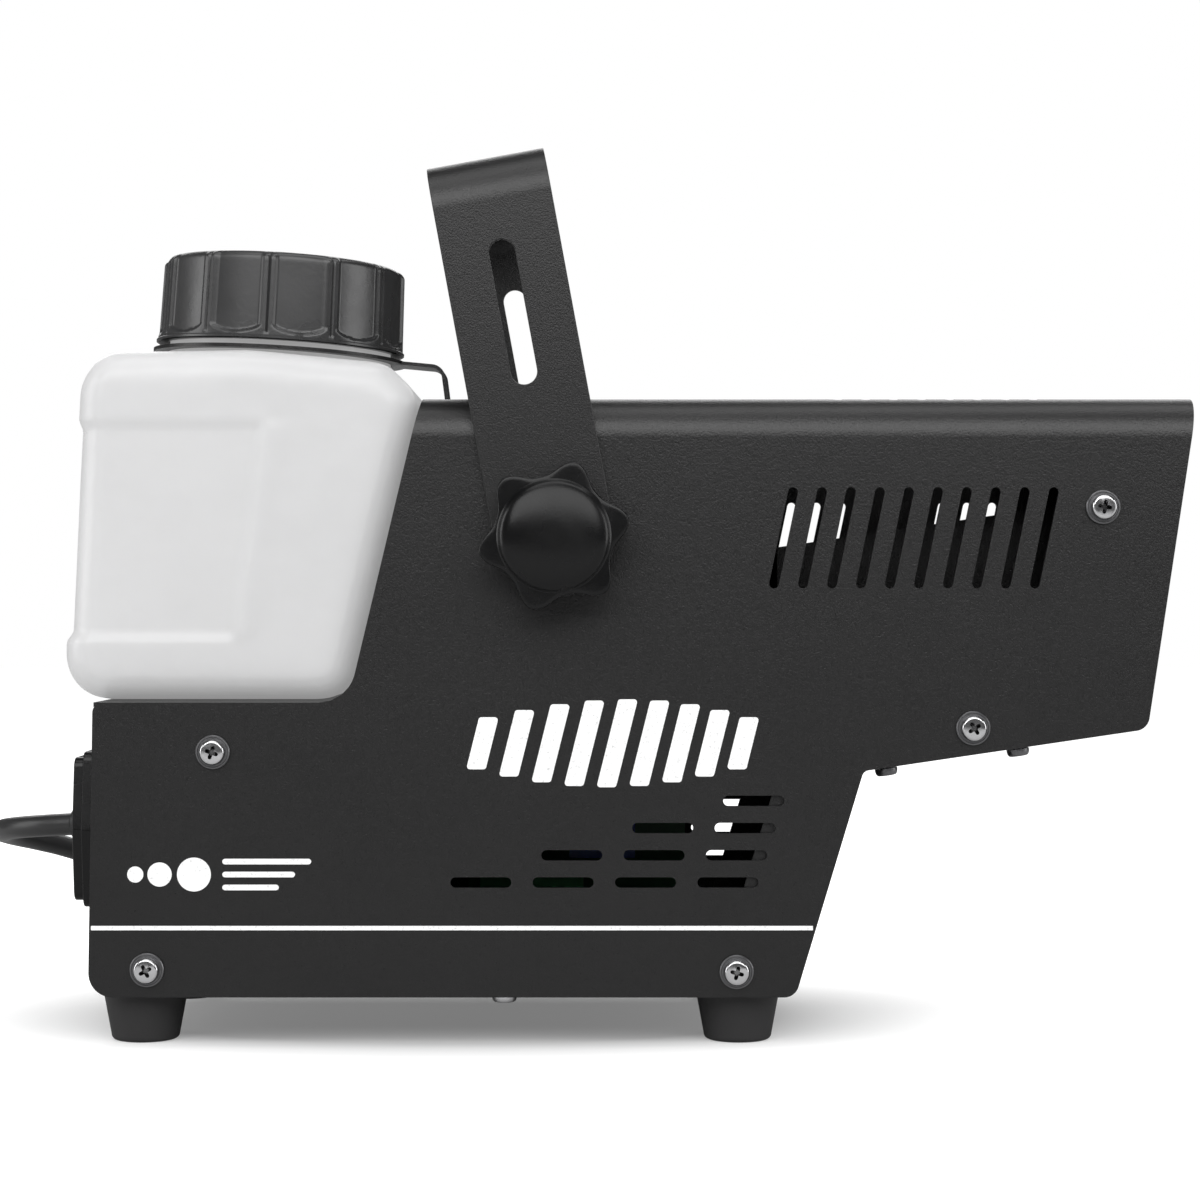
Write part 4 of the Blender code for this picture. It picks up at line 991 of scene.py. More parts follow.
    def build(self, bench: Bench) -> None:
        """Folds, cuts and dresses the cover.

        Args:
            bench: where the pieces are made and placed.
        """
        datum, past = self.datum, self.past
        low, high = datum.rear - past, datum.rear + self.length + past
        cover = bench.raw("folded_cover", Shape().prism(self.section(0, self.foot - past), low, high, Axis.X))
        half = datum.half_width + past
        bench.carve(cover, Cut.KEEP, Shape().prism(self.side_outline(), -half, half))
        hollow = self.section(datum.sheet, self.foot - 2 * past)
        inside = Shape().prism(hollow, low - past, high + past, Axis.X)
        bench.carve(cover, Cut.REMOVE, inside, *self.vents(), self.holes())
        bench.soften(cover, self.edge, 2, 50)
        bench.place(cover, "housing", "black_paint", ["cover_shell"], 28)


@dataclass(frozen=True)
class Printing:
    """The white print on both sides: a line, a row of slanted bars and a row of puffs."""

    cover: FoldedCover
    film: float = 0.00004
    line: tuple[float, float, float, float] = (0.0008, 0.1936, 0.0319, 0.00117)
    bars: int = 9
    bar: Pair = (0.0052, 0.0235)
    bar_pitch: float = 0.0087
    bars_from: Pair = (0.1010, 0.0695)
    bar_lean: float = radians(14)
    puffs_at: Pair = (0.0105, 0.0408)
    puff: float = 0.0108

    def bar_shapes(self) -> list[list[Pair]]:
        """Slanted bars whose height rises and falls along the row.

        Returns:
            Each bar's outline, from the rear edge and the floor.
        """
        width, height = self.bar
        made = []
        for i in range(self.bars):
            tall = height * (0.45 + 0.55 * sin(pi * (i + 0.8) / (self.bars + 0.6)))
            x = self.bars_from[0] + i * self.bar_pitch
            z = self.bars_from[1] + (height - tall) / 2
            slide = tall * tan(self.bar_lean)
            corners = [(x, z, 0.0008), (x + width, z, 0.0008), (x + width + slide, z + tall, 0.0008)]
            made.append(rounded([*corners, (x + slide, z + tall, 0.0008)], 4))
        return made

    def puff_shapes(self) -> list[list[Pair]]:
        """Three discs that grow along a row, then three drifting strokes.

        Returns:
            Each mark's outline, from the rear edge and the floor.
        """
        x, z = self.puffs_at
        size = self.puff
        made = []
        for a, radius in ((0.20, 0.20), (0.80, 0.30), (1.65, 0.42)):
            made.append(disc(x + a * size, z + 0.5 * size, radius * size, 40))
        for i, reach in enumerate((2.2, 1.8, 1.4)):
            middle = x + (2.35 + reach / 2) * size, z + (0.82 - 0.32 * i) * size
            made.append(turned_outline(capsule(reach * size, 0.14 * size, 6), 0, *middle))
        return made

    def build(self, bench: Bench) -> None:
        """Lays the print on each side as thin films.

        Args:
            bench: where the pieces are made and placed.
        """
        low, high, height, thickness = self.line
        stroke = [(low, height - thickness / 2), (high, height - thickness / 2)]
        stroke += [(high, height + thickness / 2), (low, height + thickness / 2)]
        datum = self.cover.datum
        marks = {"line": [stroke], "bars": self.bar_shapes(), "puffs": self.puff_shapes()}
        for side in Side:
            inner = side.value * (datum.half_width - self.film)
            outer = side.value * (datum.half_width + self.film)
            for mark, outlines in marks.items():
                shape = Shape()
                for outline in outlines:
                    film = sorted((inner, outer))
                    shape.prism([(datum.rear + a, b) for a, b in outline], *film)
                piece = bench.raw(f"print_{mark}_{side.word}", shape)
                bench.place(piece, "housing", "white_print", angle=None)


# The handle and its knobs


@dataclass(frozen=True)
class Handle:
    """The bent strap over the housing."""

    datum: Datum
    lean: float = radians(10.5)
    width: float = 0.032
    strap: float = 0.0020
    bend: float = 0.013
    reach: float = 0.1045
    slot: Pair = (0.0392, 0.0070)
    slot_centre: float = 0.0610
    hole: float = 0.0088
    past: float = 0.002
    edge: float = 0.00030

    def build(self, bench: Bench) -> None:
        """Bends the strap upright about the pivot, cuts it, and leans it back.

        Args:
            bench: where the pieces are made and placed.
        """
        outer_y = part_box("handle_bracket")[1][1]
        inner_y = outer_y - self.strap
        foot = -self.width / 2 - self.past

        def arch(y: float, top: float, radius: float, low: float) -> list[Pair]:
            """An upside-down U's outline in Y and Z."""
            return rounded([(-y, low, 0), (y, low, 0), (y, top, radius), (-y, top, radius)], 20)

        half = self.width / 2
        solid = arch(outer_y, self.reach, self.bend, foot)
        piece = bench.raw("handle_strap", Shape().prism(solid, -half - self.past, half + self.past, Axis.X))
        side = [(-half, self.reach + self.past)]
        side += [(half * cos(a), half * sin(a)) for a in (pi + pi * k / 32 for k in range(33))]
        side += [(half, self.reach + self.past)]
        across = (-outer_y - self.past, outer_y + self.past)
        bench.carve(piece, Cut.KEEP, Shape().prism(side, *across))
        room = arch(inner_y, self.reach - self.strap, self.bend - self.strap, foot - self.past)
        inside = Shape().prism(room, -half - 2 * self.past, half + 2 * self.past, Axis.X)
        cuts = Shape().prism(turned_outline(capsule(*self.slot, 16), pi / 2, 0, self.slot_centre), *across)
        cuts.prism(disc(0, 0, self.hole / 2, 32), *across)
        bench.carve(piece, Cut.REMOVE, inside, cuts)
        bench.soften(piece, self.edge, 3, 50)
        piece.data.transform(stand(tuple(self.datum.pivot), (0, -self.lean, 0)))
        bench.place(piece, "handle", "black_paint", ["handle_bracket"], 28)


@dataclass(frozen=True)
class StarKnob:
    """A six-pointed clamping knob with a domed cap."""

    side: Side
    datum: Datum
    radius: float = 0.020
    points: int = 6
    depth: float = 0.0042
    roundness: float = 2.8
    turn: float = radians(13)
    height: float = 0.0165
    dome: float = 0.0144
    stud: float = 0.0078
    stud_length: float = 0.0140
    samples: int = 192

    def ring(self, radius: float, height: float, depth: float) -> list[Triple]:
        """A ring with hollow sides between its points.

        Args:
            radius: the radius at the points.
            height: the ring's height.
            depth: how far the sides fall in.

        Returns:
            The ring's points.
        """

        def reach(angle: float) -> float:
            """The radius at an angle, least half-way between two points."""
            return radius - depth * (1 - abs(cos(self.points * angle / 2)) ** self.roundness)

        return shaped_ring(reach, height, self.samples)

    def rings(self) -> list[list[Triple]]:
        """Rings from the stud's tip to the middle of the dome.

        Returns:
            The rings, in order.
        """
        stud, radius, depth, top = self.stud / 2, self.radius, self.depth, self.height
        flat = top - 0.0040
        made = [circle(stud * 0.86, -self.stud_length, self.samples)]
        made += [circle(stud, -self.stud_length + 0.0007, self.samples), circle(stud, 0, self.samples)]
        made += [circle(0.0086, 0, self.samples), circle(0.0090, 0.0004, self.samples)]
        made.append(self.ring(radius * 0.86, 0.0042, depth * 0.75))
        made.append(self.ring(radius * 0.955, 0.0050, depth * 0.96))
        for share in range(5):
            angle = share * pi / 8
            made.append(self.ring(radius - 0.0007 * (1 - sin(angle)), 0.0062 - 0.0007 * cos(angle), depth))
        for share in range(5):
            angle = share * pi / 8
            height = flat - 0.0006 * (1 - sin(angle))
            made.append(self.ring(radius - 0.0006 * (1 - cos(angle)), height, depth))
        made.append(self.ring(radius * 0.93, flat + 0.0001, depth * 0.95))
        made.append(circle(self.dome + 0.0006, flat + 0.0001, self.samples))
        brim = flat + 0.0005
        made.append(circle(self.dome + 0.0001, brim, self.samples))
        for share in range(1, 9):
            angle = share * pi / 18
            height = brim + (top - flat - 0.0005) * sin(angle) / sin(8 * pi / 18)
            made.append(circle(self.dome * cos(angle), height, self.samples))
        return made

    def build(self, bench: Bench) -> None:
        """Moulds the knob on its axis.

        Args:
            bench: where the pieces are made and placed.
        """
        name = self.side.word
        low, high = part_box(f"knob_washer_{name}")
        face = (high[1] if self.side is Side.FAR else -low[1]) + GAP
        shape = Shape().loft(self.rings())
        place = (self.datum.pivot.x, self.side.value * face, self.datum.pivot.z)
        lay = stand(place) @ Matrix.Rotation(self.turn * self.side.value, 4, "Y")
        shape.moved(lay @ Matrix.Rotation(-self.side.value * pi / 2, 4, "X"))
        piece = bench.raw(f"star_knob_{name}", shape)
        bench.place(piece, f"{name}_knob", "knob_plastic", [f"knob_{name}"], 36)


# The bottle, its cap and the plate round its neck


@dataclass(frozen=True)
class Bottle:
    """The blow-moulded fluid bottle with its recessed label panel and threaded neck."""

    cover: FoldedCover
    width: float = 0.092
    overhang: float = 0.0095
    height: float = 0.0956
    gap: float = GAP
    edge: float = 0.0085
    wall: float = 0.0018
    neck_x: float = 0.0448
    neck_tilt: float = radians(3.0)
    neck: float = 0.063
    neck_height: float = 0.0231
    neck_wall: float = 0.0022
    voxel: float = 0.0012
    recess: float = 0.0009
    panel: tuple[float, float] = (0.1095, 0.1672)
    panel_front: tuple[float, float] = (0.0376, 0.0450)
    soft: float = 0.0016
    thread_pitch: float = 0.0060
    thread_turns: float = 1.6
    outlet: float = 0.0100

    @property
    def shoulder(self) -> float:
        """The height of the shoulder."""
        return self.cover.seat + self.gap + self.height

    def corners(self) -> list[Corner]:
        """The side outline, from the rear edge and the floor.

        Returns:
            (a, b, radius) of each corner, anticlockwise.
        """
        low = self.cover.seat + self.gap
        chamfer = self.shoulder - 0.0130
        back = -0.0012
        return [
            (-self.overhang, low, 0.0120),
            (self.cover.wall_x(low) + back, low, 0.0100),
            (self.cover.wall_x(chamfer) + back, chamfer, 0.0100),
            (self.neck_x + self.neck / 2 + 0.0020, self.shoulder - 0.0036, 0.0100),
            (self.neck_x - 0.0040, self.shoulder, 0.0300),
            (-self.overhang + 0.0027, self.shoulder - 0.0008, 0.0125),
        ]

    def form(self, inset: float, steps: int) -> Shape:
        """The body with rounded rims, moved inward by inset.

        Args:
            inset: how far every face moves inward.
            steps: straight pieces in each rounding.

        Returns:
            The solid.
        """
        half, rim = self.width / 2 - inset, self.edge - inset
        rings = []
        for sign in (-1, 1):
            for k in range(steps + 1):
                angle = pi / 2 * (steps - k if sign < 0 else k) / steps
                y = sign * (half - rim * (1 - sin(angle)))
                outline = rounded(drawn_in(self.corners(), inset + rim * (1 - cos(angle))), steps)
                rings.append([(self.cover.datum.rear + a, y, b) for a, b in outline])
        return Shape().loft(rings)

    def neck_matrix(self) -> Matrix:
        """From the neck's own frame to the machine's."""
        return stand(self.cover.datum.at(self.neck_x, 0, self.shoulder), (0, self.neck_tilt, 0))

    def pressed(self, points: np.ndarray) -> np.ndarray:
        """The body's points with the label panel and the rear face pressed in.

        Args:
            points: the points, one per row.

        Returns:
            The moved points.
        """
        x = points[:, 0] - self.cover.datum.rear
        z = points[:, 2]
        low, high = self.panel

        def rise(value: np.ndarray) -> np.ndarray:
            """A smooth step from 0 to 1 as value passes from -soft to soft."""
            return eased(np.clip(value / self.soft * 0.5 + 0.5, 0, 1))

        front = self.panel_front[0] + (z - low) / (high - low) * (self.panel_front[1] - self.panel_front[0])
        inside = rise(z - low) * rise(high - z) * rise(front - x)
        moved = points.copy()
        on_side = np.clip((np.abs(points[:, 1]) / (self.width / 2) - 0.55) / 0.3, 0, 1)
        moved[:, 1] -= np.sign(points[:, 1]) * self.recess * inside * on_side
        ridge = np.exp(-(((x - front - 0.0030) / 0.0030) ** 2)) * rise(z - low) * rise(high - z)
        moved[:, 1] += np.sign(points[:, 1]) * 0.00035 * ridge * on_side
        at_rear = np.clip((0.006 - x) / 0.010, 0, 1)
        moved[:, 0] += (0.0016 * rise(z - low) + 0.0010 * rise(z - low) * (z - low) / (high - low)) * at_rear
        moved[:, 0] -= 0.0010 * rise(z - high) * at_rear
        return moved

    def body(self, bench: Bench) -> bpy.types.Object:
        """The dense outer body, before it is hollowed.

        Args:
            bench: where the pieces are made and placed.

        Returns:
            The piece.
        """
        piece = bench.raw("fluid_bottle", self.form(0, 10))
        remesh = piece.modifiers.new("even_mesh", "REMESH")
        remesh.mode = "VOXEL"
        remesh.voxel_size = self.voxel
        smooth = piece.modifiers.new("blown", "SMOOTH")
        smooth.factor = 0.5
        smooth.iterations = 8
        settled(piece)
        data = piece.data
        points = np.empty(len(data.vertices) * 3, np.float32)
        data.vertices.foreach_get("co", points)
        data.vertices.foreach_set("co", self.pressed(points.reshape(-1, 3)).astype(np.float32).ravel())
        return piece

    def thread(self) -> Shape:
        """A rounded ridge that winds up the neck.

        Returns:
            The ridge in the neck's own frame.
        """
        rings = []
        steps = 72
        radius = self.neck / 2 - 0.0003
        for k in range(int(steps * self.thread_turns) + 1):
            angle = 2 * pi * k / steps
            ends = min(1.0, k / 8, (int(steps * self.thread_turns) - k) / 8)
            height = 0.0105 + self.thread_pitch * k / steps
            ring = []
            for j in range(8):
                around = 2 * pi * j / 8
                out = radius + 0.0002 + (0.0007 * ends + 0.0001) * cos(around)
                rise = height + 0.0010 * (0.3 + 0.7 * ends) * sin(around)
                ring.append((out * cos(angle), out * sin(angle), rise))
            rings.append(ring)
        return Shape().loft(rings)

    def build(self, bench: Bench) -> None:
        """Blows the body, adds the neck and its thread, and hollows both.

        Args:
            bench: where the pieces are made and placed.
        """
        place = self.neck_matrix()
        piece = self.body(bench)
        root, rim = self.neck + 0.0030, self.neck - 0.0012
        profile = [(root, -0.006), (root, -0.0012), (self.neck + 0.0006, 0.0004), (self.neck, 0.0016)]
        profile += [(self.neck, self.neck_height - 0.0006), (rim, self.neck_height)]
        bench.carve(piece, Cut.ADD, Shape().turned(profile, 96).moved(place))
        mouth = self.neck - 2 * self.neck_wall
        bore = Shape().turned([(mouth, -0.010), (mouth, self.neck_height + 0.002)], 96).moved(place)
        outlet = Shape().turned([(self.outlet, -0.010), (self.outlet, 0.010)], 32)
        outlet.moved(stand(middle_of("outlet_grommet"), (0, pi / 2 + self.cover.wall_lean, 0)))
        bench.carve(piece, Cut.REMOVE, self.form(self.wall + self.recess, 5), bore, outlet)
        bench.place(piece, "housing", "bottle_plastic", ["bottle"], 60)
        thread = bench.raw("neck_thread", self.thread().moved(place))
        bench.place(thread, "housing", "bottle_plastic", angle=60)


@dataclass(frozen=True)
class ScrewCap:
    """The ribbed cap."""

    bottle: Bottle
    radius: float = 0.035
    height: float = 0.0245
    rise: float = 0.0033
    wall: float = 0.0025
    draft: float = 0.0006
    flutes: int = 12
    flute_depth: float = 0.0011
    rib: float = 0.17
    samples: int = 432
    bead: float = 0.0004
    rim: float = 0.0022

    def reach(self, angle: float, height: float) -> float:
        """The radius at an angle and a height above the cap's lower edge.

        Args:
            angle: the angle round the cap.
            height: the height above its lower edge.

        Returns:
            The radius.
        """
        share = height / self.height
        base = self.radius - self.draft * share
        across = (self.flutes * angle / (2 * pi)) % 1.0 * 2 - 1
        inner = abs(across) / (1 - self.rib)
        if inner < 1:
            floor = 0.0042 - 0.0026 * (1 - inner * inner) ** 0.5
            start = eased(min(1.0, max(0.0, (height - floor) / 0.0009)))
            edge = min(1.0, (1 - inner) / 0.10)
            return base - self.flute_depth * start * edge * (0.80 + 0.20 * (1 - inner * inner))
        groove = max(0.0, 1 - abs(abs(across) - 1) / 0.035)
        return base - 0.0005 * groove * min(1.0, max(0.0, (height - 0.0014) / 0.0006))

    def rings(self) -> list[list[Triple]]:
        """Rings up the bore's inside, round the lower edge, up the flutes and over the rim.

        Returns:
            The rings in the neck's own frame, in order.
        """
        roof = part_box("cap_liner")[1][2] - self.bottle.shoulder
        inner = self.radius - self.wall
        top = self.rise + self.height
        made = [circle(inner, min(roof + 0.0004, top - 0.0016), self.samples)]
        made.append(circle(inner, self.rise, self.samples))
        made.append(circle(self.radius - 0.0002 + self.bead * 0.4, self.rise, self.samples))
        made.append(circle(self.radius + self.bead, self.rise + 0.0003, self.samples))
        made.append(circle(self.radius + self.bead, self.rise + 0.0009, self.samples))
        levels = [0.0012, 0.0016, 0.0020, 0.0024, 0.0028, 0.0032, 0.0036, 0.0040, 0.0045, 0.0052, 0.0070]
        levels += [0.011, 0.016, self.height - 0.0030, self.height - self.rim]
        for level in levels:
            made.append(shaped_ring(partial(self.reach, height=level), self.rise + level, self.samples))
        plain = self.radius - self.draft - self.flute_depth

        def over_rim(angle: float, turn: float) -> float:
            """The radius at an angle round the cap and a turn over its rounded rim."""
            base = self.reach(angle, self.height - self.rim)
            return base + (plain - base) * sin(turn) ** 2 - 0.0020 * (1 - cos(turn))

        for k in range(1, 7):
            turn = k * pi / 12
            height = top - self.rim * (1 - sin(turn))
            made.append(shaped_ring(partial(over_rim, turn=turn), height, self.samples))
        made.append(circle(self.radius - 0.0060, top + 0.0001, self.samples))
        made.append(circle(self.radius - 0.0066, top - 0.0003, self.samples))
        made.append(circle(0.004, top - 0.0003, self.samples))
        return made

    def build(self, bench: Bench) -> None:
        """Moulds the cap in place on the neck.

        Args:
            bench: where the pieces are made and placed.
        """
        shape = Shape().loft(self.rings()).moved(self.bottle.neck_matrix())
        piece = bench.raw("screw_cap", shape)
        bench.place(piece, "cap", "cap_plastic", ["bottle_cap"], 42)


@dataclass(frozen=True)
class NeckPlate:
    """The plate round the bottle's neck, with a tab bent down to the housing's top."""

    bottle: Bottle
    sheet: float = 0.0010
    rim: float = 0.0046
    rise: float = 0.0007
    tab_width: float = 0.014
    forward: float = 0.0040
    foot: float = 0.0150
    bore_gap: float = 0.0012
    hole: float = 0.0042
    edge: float = 0.00018

    def build(self, bench: Bench) -> None:
        """Cuts the ring and joins its tab.

        Args:
            bench: where the pieces are made and placed.
        """
        bottle, cover = self.bottle, self.bottle.cover
        rim = bottle.neck / 2 + self.rim
        ring = Shape().turned([(2 * rim, self.rise), (2 * rim, self.rise + self.sheet)], 96)
        piece = bench.raw("neck_ring", ring.moved(bottle.neck_matrix()))
        drop_x = cover.wall_x(cover.datum.top) + self.forward
        drop_z = cover.datum.top + GAP
        start = rim - self.rim / 2
        start_z = bottle.shoulder + self.rise * cos(bottle.neck_tilt) - start * sin(bottle.neck_tilt) - 0.0001
        corners = [
            (bottle.neck_x + start, start_z, 0),
            (drop_x - 0.0015, start_z - 0.0012, 0.0032),
            (drop_x, drop_z, 0.0016),
            (drop_x + self.foot, drop_z, 0),
        ]
        path = rounded(corners, 10, closed=False)
        outline = [(cover.datum.rear + a, b) for a, b in path + beside(path, self.sheet)[::-1]]
        half = self.tab_width / 2
        bench.carve(piece, Cut.ADD, Shape().prism(outline, -half, half))
        bore = bottle.neck + self.bore_gap
        cutter = Shape().turned([(bore, -0.004), (bore, 0.008)], 96).moved(bottle.neck_matrix())
        hole = disc(middle_of("neck_plate_screw")[0], 0, self.hole / 2, 24)
        cutter.prism(hole, drop_z - 0.002, drop_z + 0.003, Axis.Z)
        bench.carve(piece, Cut.REMOVE, cutter)
        bench.soften(piece, self.edge, 2, 50)
        bench.place(piece, "housing", "black_paint", ["neck_plate"], 28)


# Feet, screws, the rear panel's socket


@dataclass(frozen=True)
class Foot:
    """A tapered rubber foot with a recess for its screw."""

    name: str
    top: float = 0.0230
    bottom: float = 0.0182
    recess: float = 0.0068
    recess_depth: float = 0.0060
    toe: float = 0.0014

    def build(self, bench: Bench) -> None:
        """Turns the foot where the frame has it.

        Args:
            bench: where the pieces are made and placed.
        """
        low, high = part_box(self.name)
        tall = high[2] - low[2]
        floor = self.bottom - 2 * self.toe * 0.85
        profile = [(0.0030, self.recess_depth), (self.recess, self.recess_depth), (self.recess, 0.0004)]
        profile += [(self.recess + 0.0008, 0.0)]
        for k in range(7):
            turn = k * pi / 12
            profile.append((floor + 2 * self.toe * sin(turn) * 0.95, self.toe * (1 - cos(turn))))
        profile += [(self.top - 0.0004, tall - 0.0005), (self.top - 0.0014, tall)]
        shape = Shape().turned(profile, 64)
        shape.moved(stand((*middle_of(self.name)[:2], low[2])))
        piece = bench.raw(f"rubber_{self.name}", shape)
        bench.place(piece, "housing", "foot_rubber", [self.name], 35)


@dataclass(frozen=True)
class PanScrew:
    """A pan-head screw with a cross recess, and its washer."""

    head: float = 0.0071
    washer: float = 0.0091
    shank: float = 0.0034
    shank_length: float = 0.0060
    seat: float = 0.0006
    height: float = 0.0022
    cross: Pair = (0.0040, 0.00105)
    depth: float = 0.0013

    def head_shape(self, bench: Bench, scale: float) -> bpy.types.Mesh:
        """The screw's mesh, with its seat at height 0 and its head up.

        Args:
            bench: where the pieces are made and placed.
            scale: its size as a share of the cover screws'.

        Returns:
            The mesh.
        """
        top = self.seat + self.height
        profile = [(self.shank, -self.shank_length), (self.shank, self.seat), (self.head, self.seat)]
        for k in range(9):
            turn = k * pi / 16
            reach = self.head * (0.74 + 0.26 * cos(turn))
            profile.append((reach, self.seat + 0.0004 + (self.height - 0.0004) * sin(turn)))
        profile.append((self.head * 0.3, top + 0.0001))
        piece = bench.raw("pan_screw", Shape().turned(profile, 40))
        length, width = self.cross
        cutters = []
        for turn in (0, pi / 2):
            rings = []
            for height, share in ((top - self.depth, 0.45), (top + 0.0005, 1.1)):
                outline = turned_outline(capsule(length * share, width * (0.7 + 0.3 * share), 4), turn)
                rings.append([(a, b, height) for a, b in outline])
            cutters.append(Shape().loft(rings))
        bench.carve(piece, Cut.REMOVE, *cutters)
        piece.data.transform(Matrix.Scale(scale, 4))
        smoothed(piece.data, 30)
        data = piece.data
        bpy.data.objects.remove(piece)
        return data

    def washer_shape(self) -> bpy.types.Mesh:
        """The washer's mesh, dished and with turned edges.

        Returns:
            The mesh.
        """
        bore, rim, seat = self.head * 0.6, self.washer, self.seat
        profile = [(bore, 0), (rim - 0.0003, 0), (rim, 0.00012), (rim, seat - 0.00016), (rim - 0.0003, seat)]
        profile += [(rim - 0.0009, seat + 0.00002), (rim - 0.0012, seat - 0.00018), (bore, seat - 0.0002)]
        return Shape().turned(profile, 56, closed=True).data("screw_washer")


@dataclass(frozen=True)
class Fasteners:
    """All the screws, each at its own turn."""

    cover: FoldedCover
    screw: PanScrew = PanScrew()
    nose_forward: Pair = (0.0073, 0.0431)
    nose_inset: float = 0.0130
    nose_scale: float = 0.86
    small_scale: float = 0.96
    first_turn: float = 0.4
    turn_between: float = 0.83
    neck_turn: float = 1.1
    tray_turn: float = 0.6

    def one(
        self, bench: Bench, data: bpy.types.Mesh, name: str, matrix: Matrix, slot: str, *nodes: str
    ) -> None:
        """Puts a copy of a mesh in place.

        Args:
            bench: where the pieces are made and placed.
            data: the mesh.
            name: the piece's name.
            matrix: where it goes.
            slot: its finish.
            nodes: the frame's node that it stands for, if any.
        """
        piece = linked(name, data)
        piece.matrix_world = matrix
        bench.place(piece, "housing", slot, nodes, None)

    def build(self, bench: Bench) -> None:
        """Drives every screw home.

        Args:
            bench: where the pieces are made and placed.
        """
        cover, datum = self.cover, self.cover.datum
        bright, washer = self.screw.head_shape(bench, 1.0), self.screw.washer_shape()
        smoothed(washer, 25)
        spin = self.first_turn
        for side in Side:
            for place, x, z in cover.screw_places():
                spin += self.turn_between
                seat = datum.at(x, side.value * (datum.half_width + GAP), z)
                matrix = stand(seat, (-side.value * pi / 2, 0, 0)) @ Matrix.Rotation(spin, 4, "Z")
                name = f"{place}_{side.word}"
                self.one(bench, bright, f"pan_screw_{name}", matrix, "chrome_screw", f"screw_{name}")
                self.one(bench, washer, f"screw_washer_{name}", matrix, "black_screw")
        dark = self.screw.head_shape(bench, self.nose_scale)
        x, z = cover.nose_back
        for end, forward in zip(("rear", "front"), self.nose_forward):
            for side in Side:
                spin += self.turn_between
                y = side.value * (datum.half_width - self.nose_inset)
                seat = datum.at(x + forward, y, z + forward * tan(cover.nose_slope) - 0.0006)
                matrix = stand(seat, (0, pi - cover.nose_slope, 0)) @ Matrix.Rotation(spin, 4, "Z")
                node = f"nose_screw_{end}_{side.word}"
                self.one(bench, dark, f"underside_screw_{end}_{side.word}", matrix, "black_screw", node)
        small = self.screw.head_shape(bench, self.small_scale)
        seat = (*middle_of("neck_plate_screw")[:2], datum.top + 0.0011)
        matrix = stand(seat) @ Matrix.Rotation(self.neck_turn, 4, "Z")
        self.one(bench, small, "neck_screw", matrix, "black_screw", "neck_plate_screw")
        plated = small.copy()
        seat = (*middle_of("tray_screw")[:2], cover.foot - GAP)
        matrix = stand(seat, (0, pi, 0)) @ Matrix.Rotation(self.tray_turn, 4, "Z")
        self.one(bench, plated, "bottom_screw", matrix, "chrome_screw", "tray_screw")


@dataclass(frozen=True)
class RemoteSocket:
    """The remote control's socket on the rear panel."""

    cover: FoldedCover
    y: float = -0.0270
    rise: float = 0.0434
    flange: Triple = (0.0300, 0.0426, 0.0045)
    bezel: Triple = (0.0260, 0.0393, 0.0028)
    recess: Triple = (0.0180, 0.0250, 0.0120)
    body_depth: float = 0.0172
    gap: float = GAP
    edge: float = 0.00045
    pin: Triple = (0.0012, 0.0040, 0.0070)
    pins_at: tuple[Pair, ...] = ((0, 0.0070), (-0.0045, -0.0045), (0.0045, -0.0045))

    def six_sided(self, width: float, height: float) -> list[Pair]:
        """A tall six-sided outline, widest at mid-height.

        Args:
            width: the width at mid-height.
            height: the whole height.

        Returns:
            The outline's points.
        """
        narrow = width / 2 * 0.78
        corners = [(-width / 2, 0, 0.002), (-narrow, -height / 2, 0.003), (narrow, -height / 2, 0.003)]
        corners += [(width / 2, 0, 0.002), (narrow, height / 2, 0.003), (-narrow, height / 2, 0.003)]
        return rounded(corners, 8)

    def build(self, bench: Bench) -> None:
        """Moulds the socket and sets its contacts.

        Args:
            bench: where the pieces are made and placed.
        """
        at = stand(self.cover.datum.at(0, self.y, self.cover.foot + self.rise))
        width, height, thickness = self.flange
        bezel_width, bezel_height, bezel = self.bezel
        mouth = -thickness - bezel
        shape = Shape().prism(self.six_sided(width, height), -thickness, -self.gap, Axis.X)
        piece = bench.raw("socket_moulding", shape)
        front = Shape().prism(self.six_sided(bezel_width, bezel_height), mouth, -thickness / 2, Axis.X)
        inner = self.six_sided(bezel_width - 0.002, bezel_height - 0.006)
        back = Shape().prism(inner, -thickness / 2, self.body_depth, Axis.X)
        bench.carve(piece, Cut.ADD, front, back)
        half_y, half_z, depth = self.recess[0] / 2, self.recess[1] / 2, self.recess[2]
        corners = ((-half_y, -half_z), (half_y, -half_z), (half_y, half_z), (-half_y, half_z))
        room = rounded([(a, b, 0.002) for a, b in corners], 6)
        bench.carve(piece, Cut.REMOVE, Shape().prism(room, mouth - 0.002, mouth + depth, Axis.X))
        bench.soften(piece, self.edge, 3, 40)
        piece.data.transform(at)
        bench.place(piece, "housing", "knob_plastic", ["remote_socket"], 30)
        thick, wide, long = self.pin
        for i, (y, z) in enumerate(self.pins_at):
            low = (mouth + depth - long, y - wide / 2, z - thick / 2)
            high = (mouth + depth + 0.001, y + wide / 2, z + thick / 2)
            contact = bench.raw(f"socket_contact_{i}", Shape().block(low, high).moved(at))
            bench.soften(contact, 0.0003, 2)
            bench.place(contact, "housing", "brass")


# The mains lead


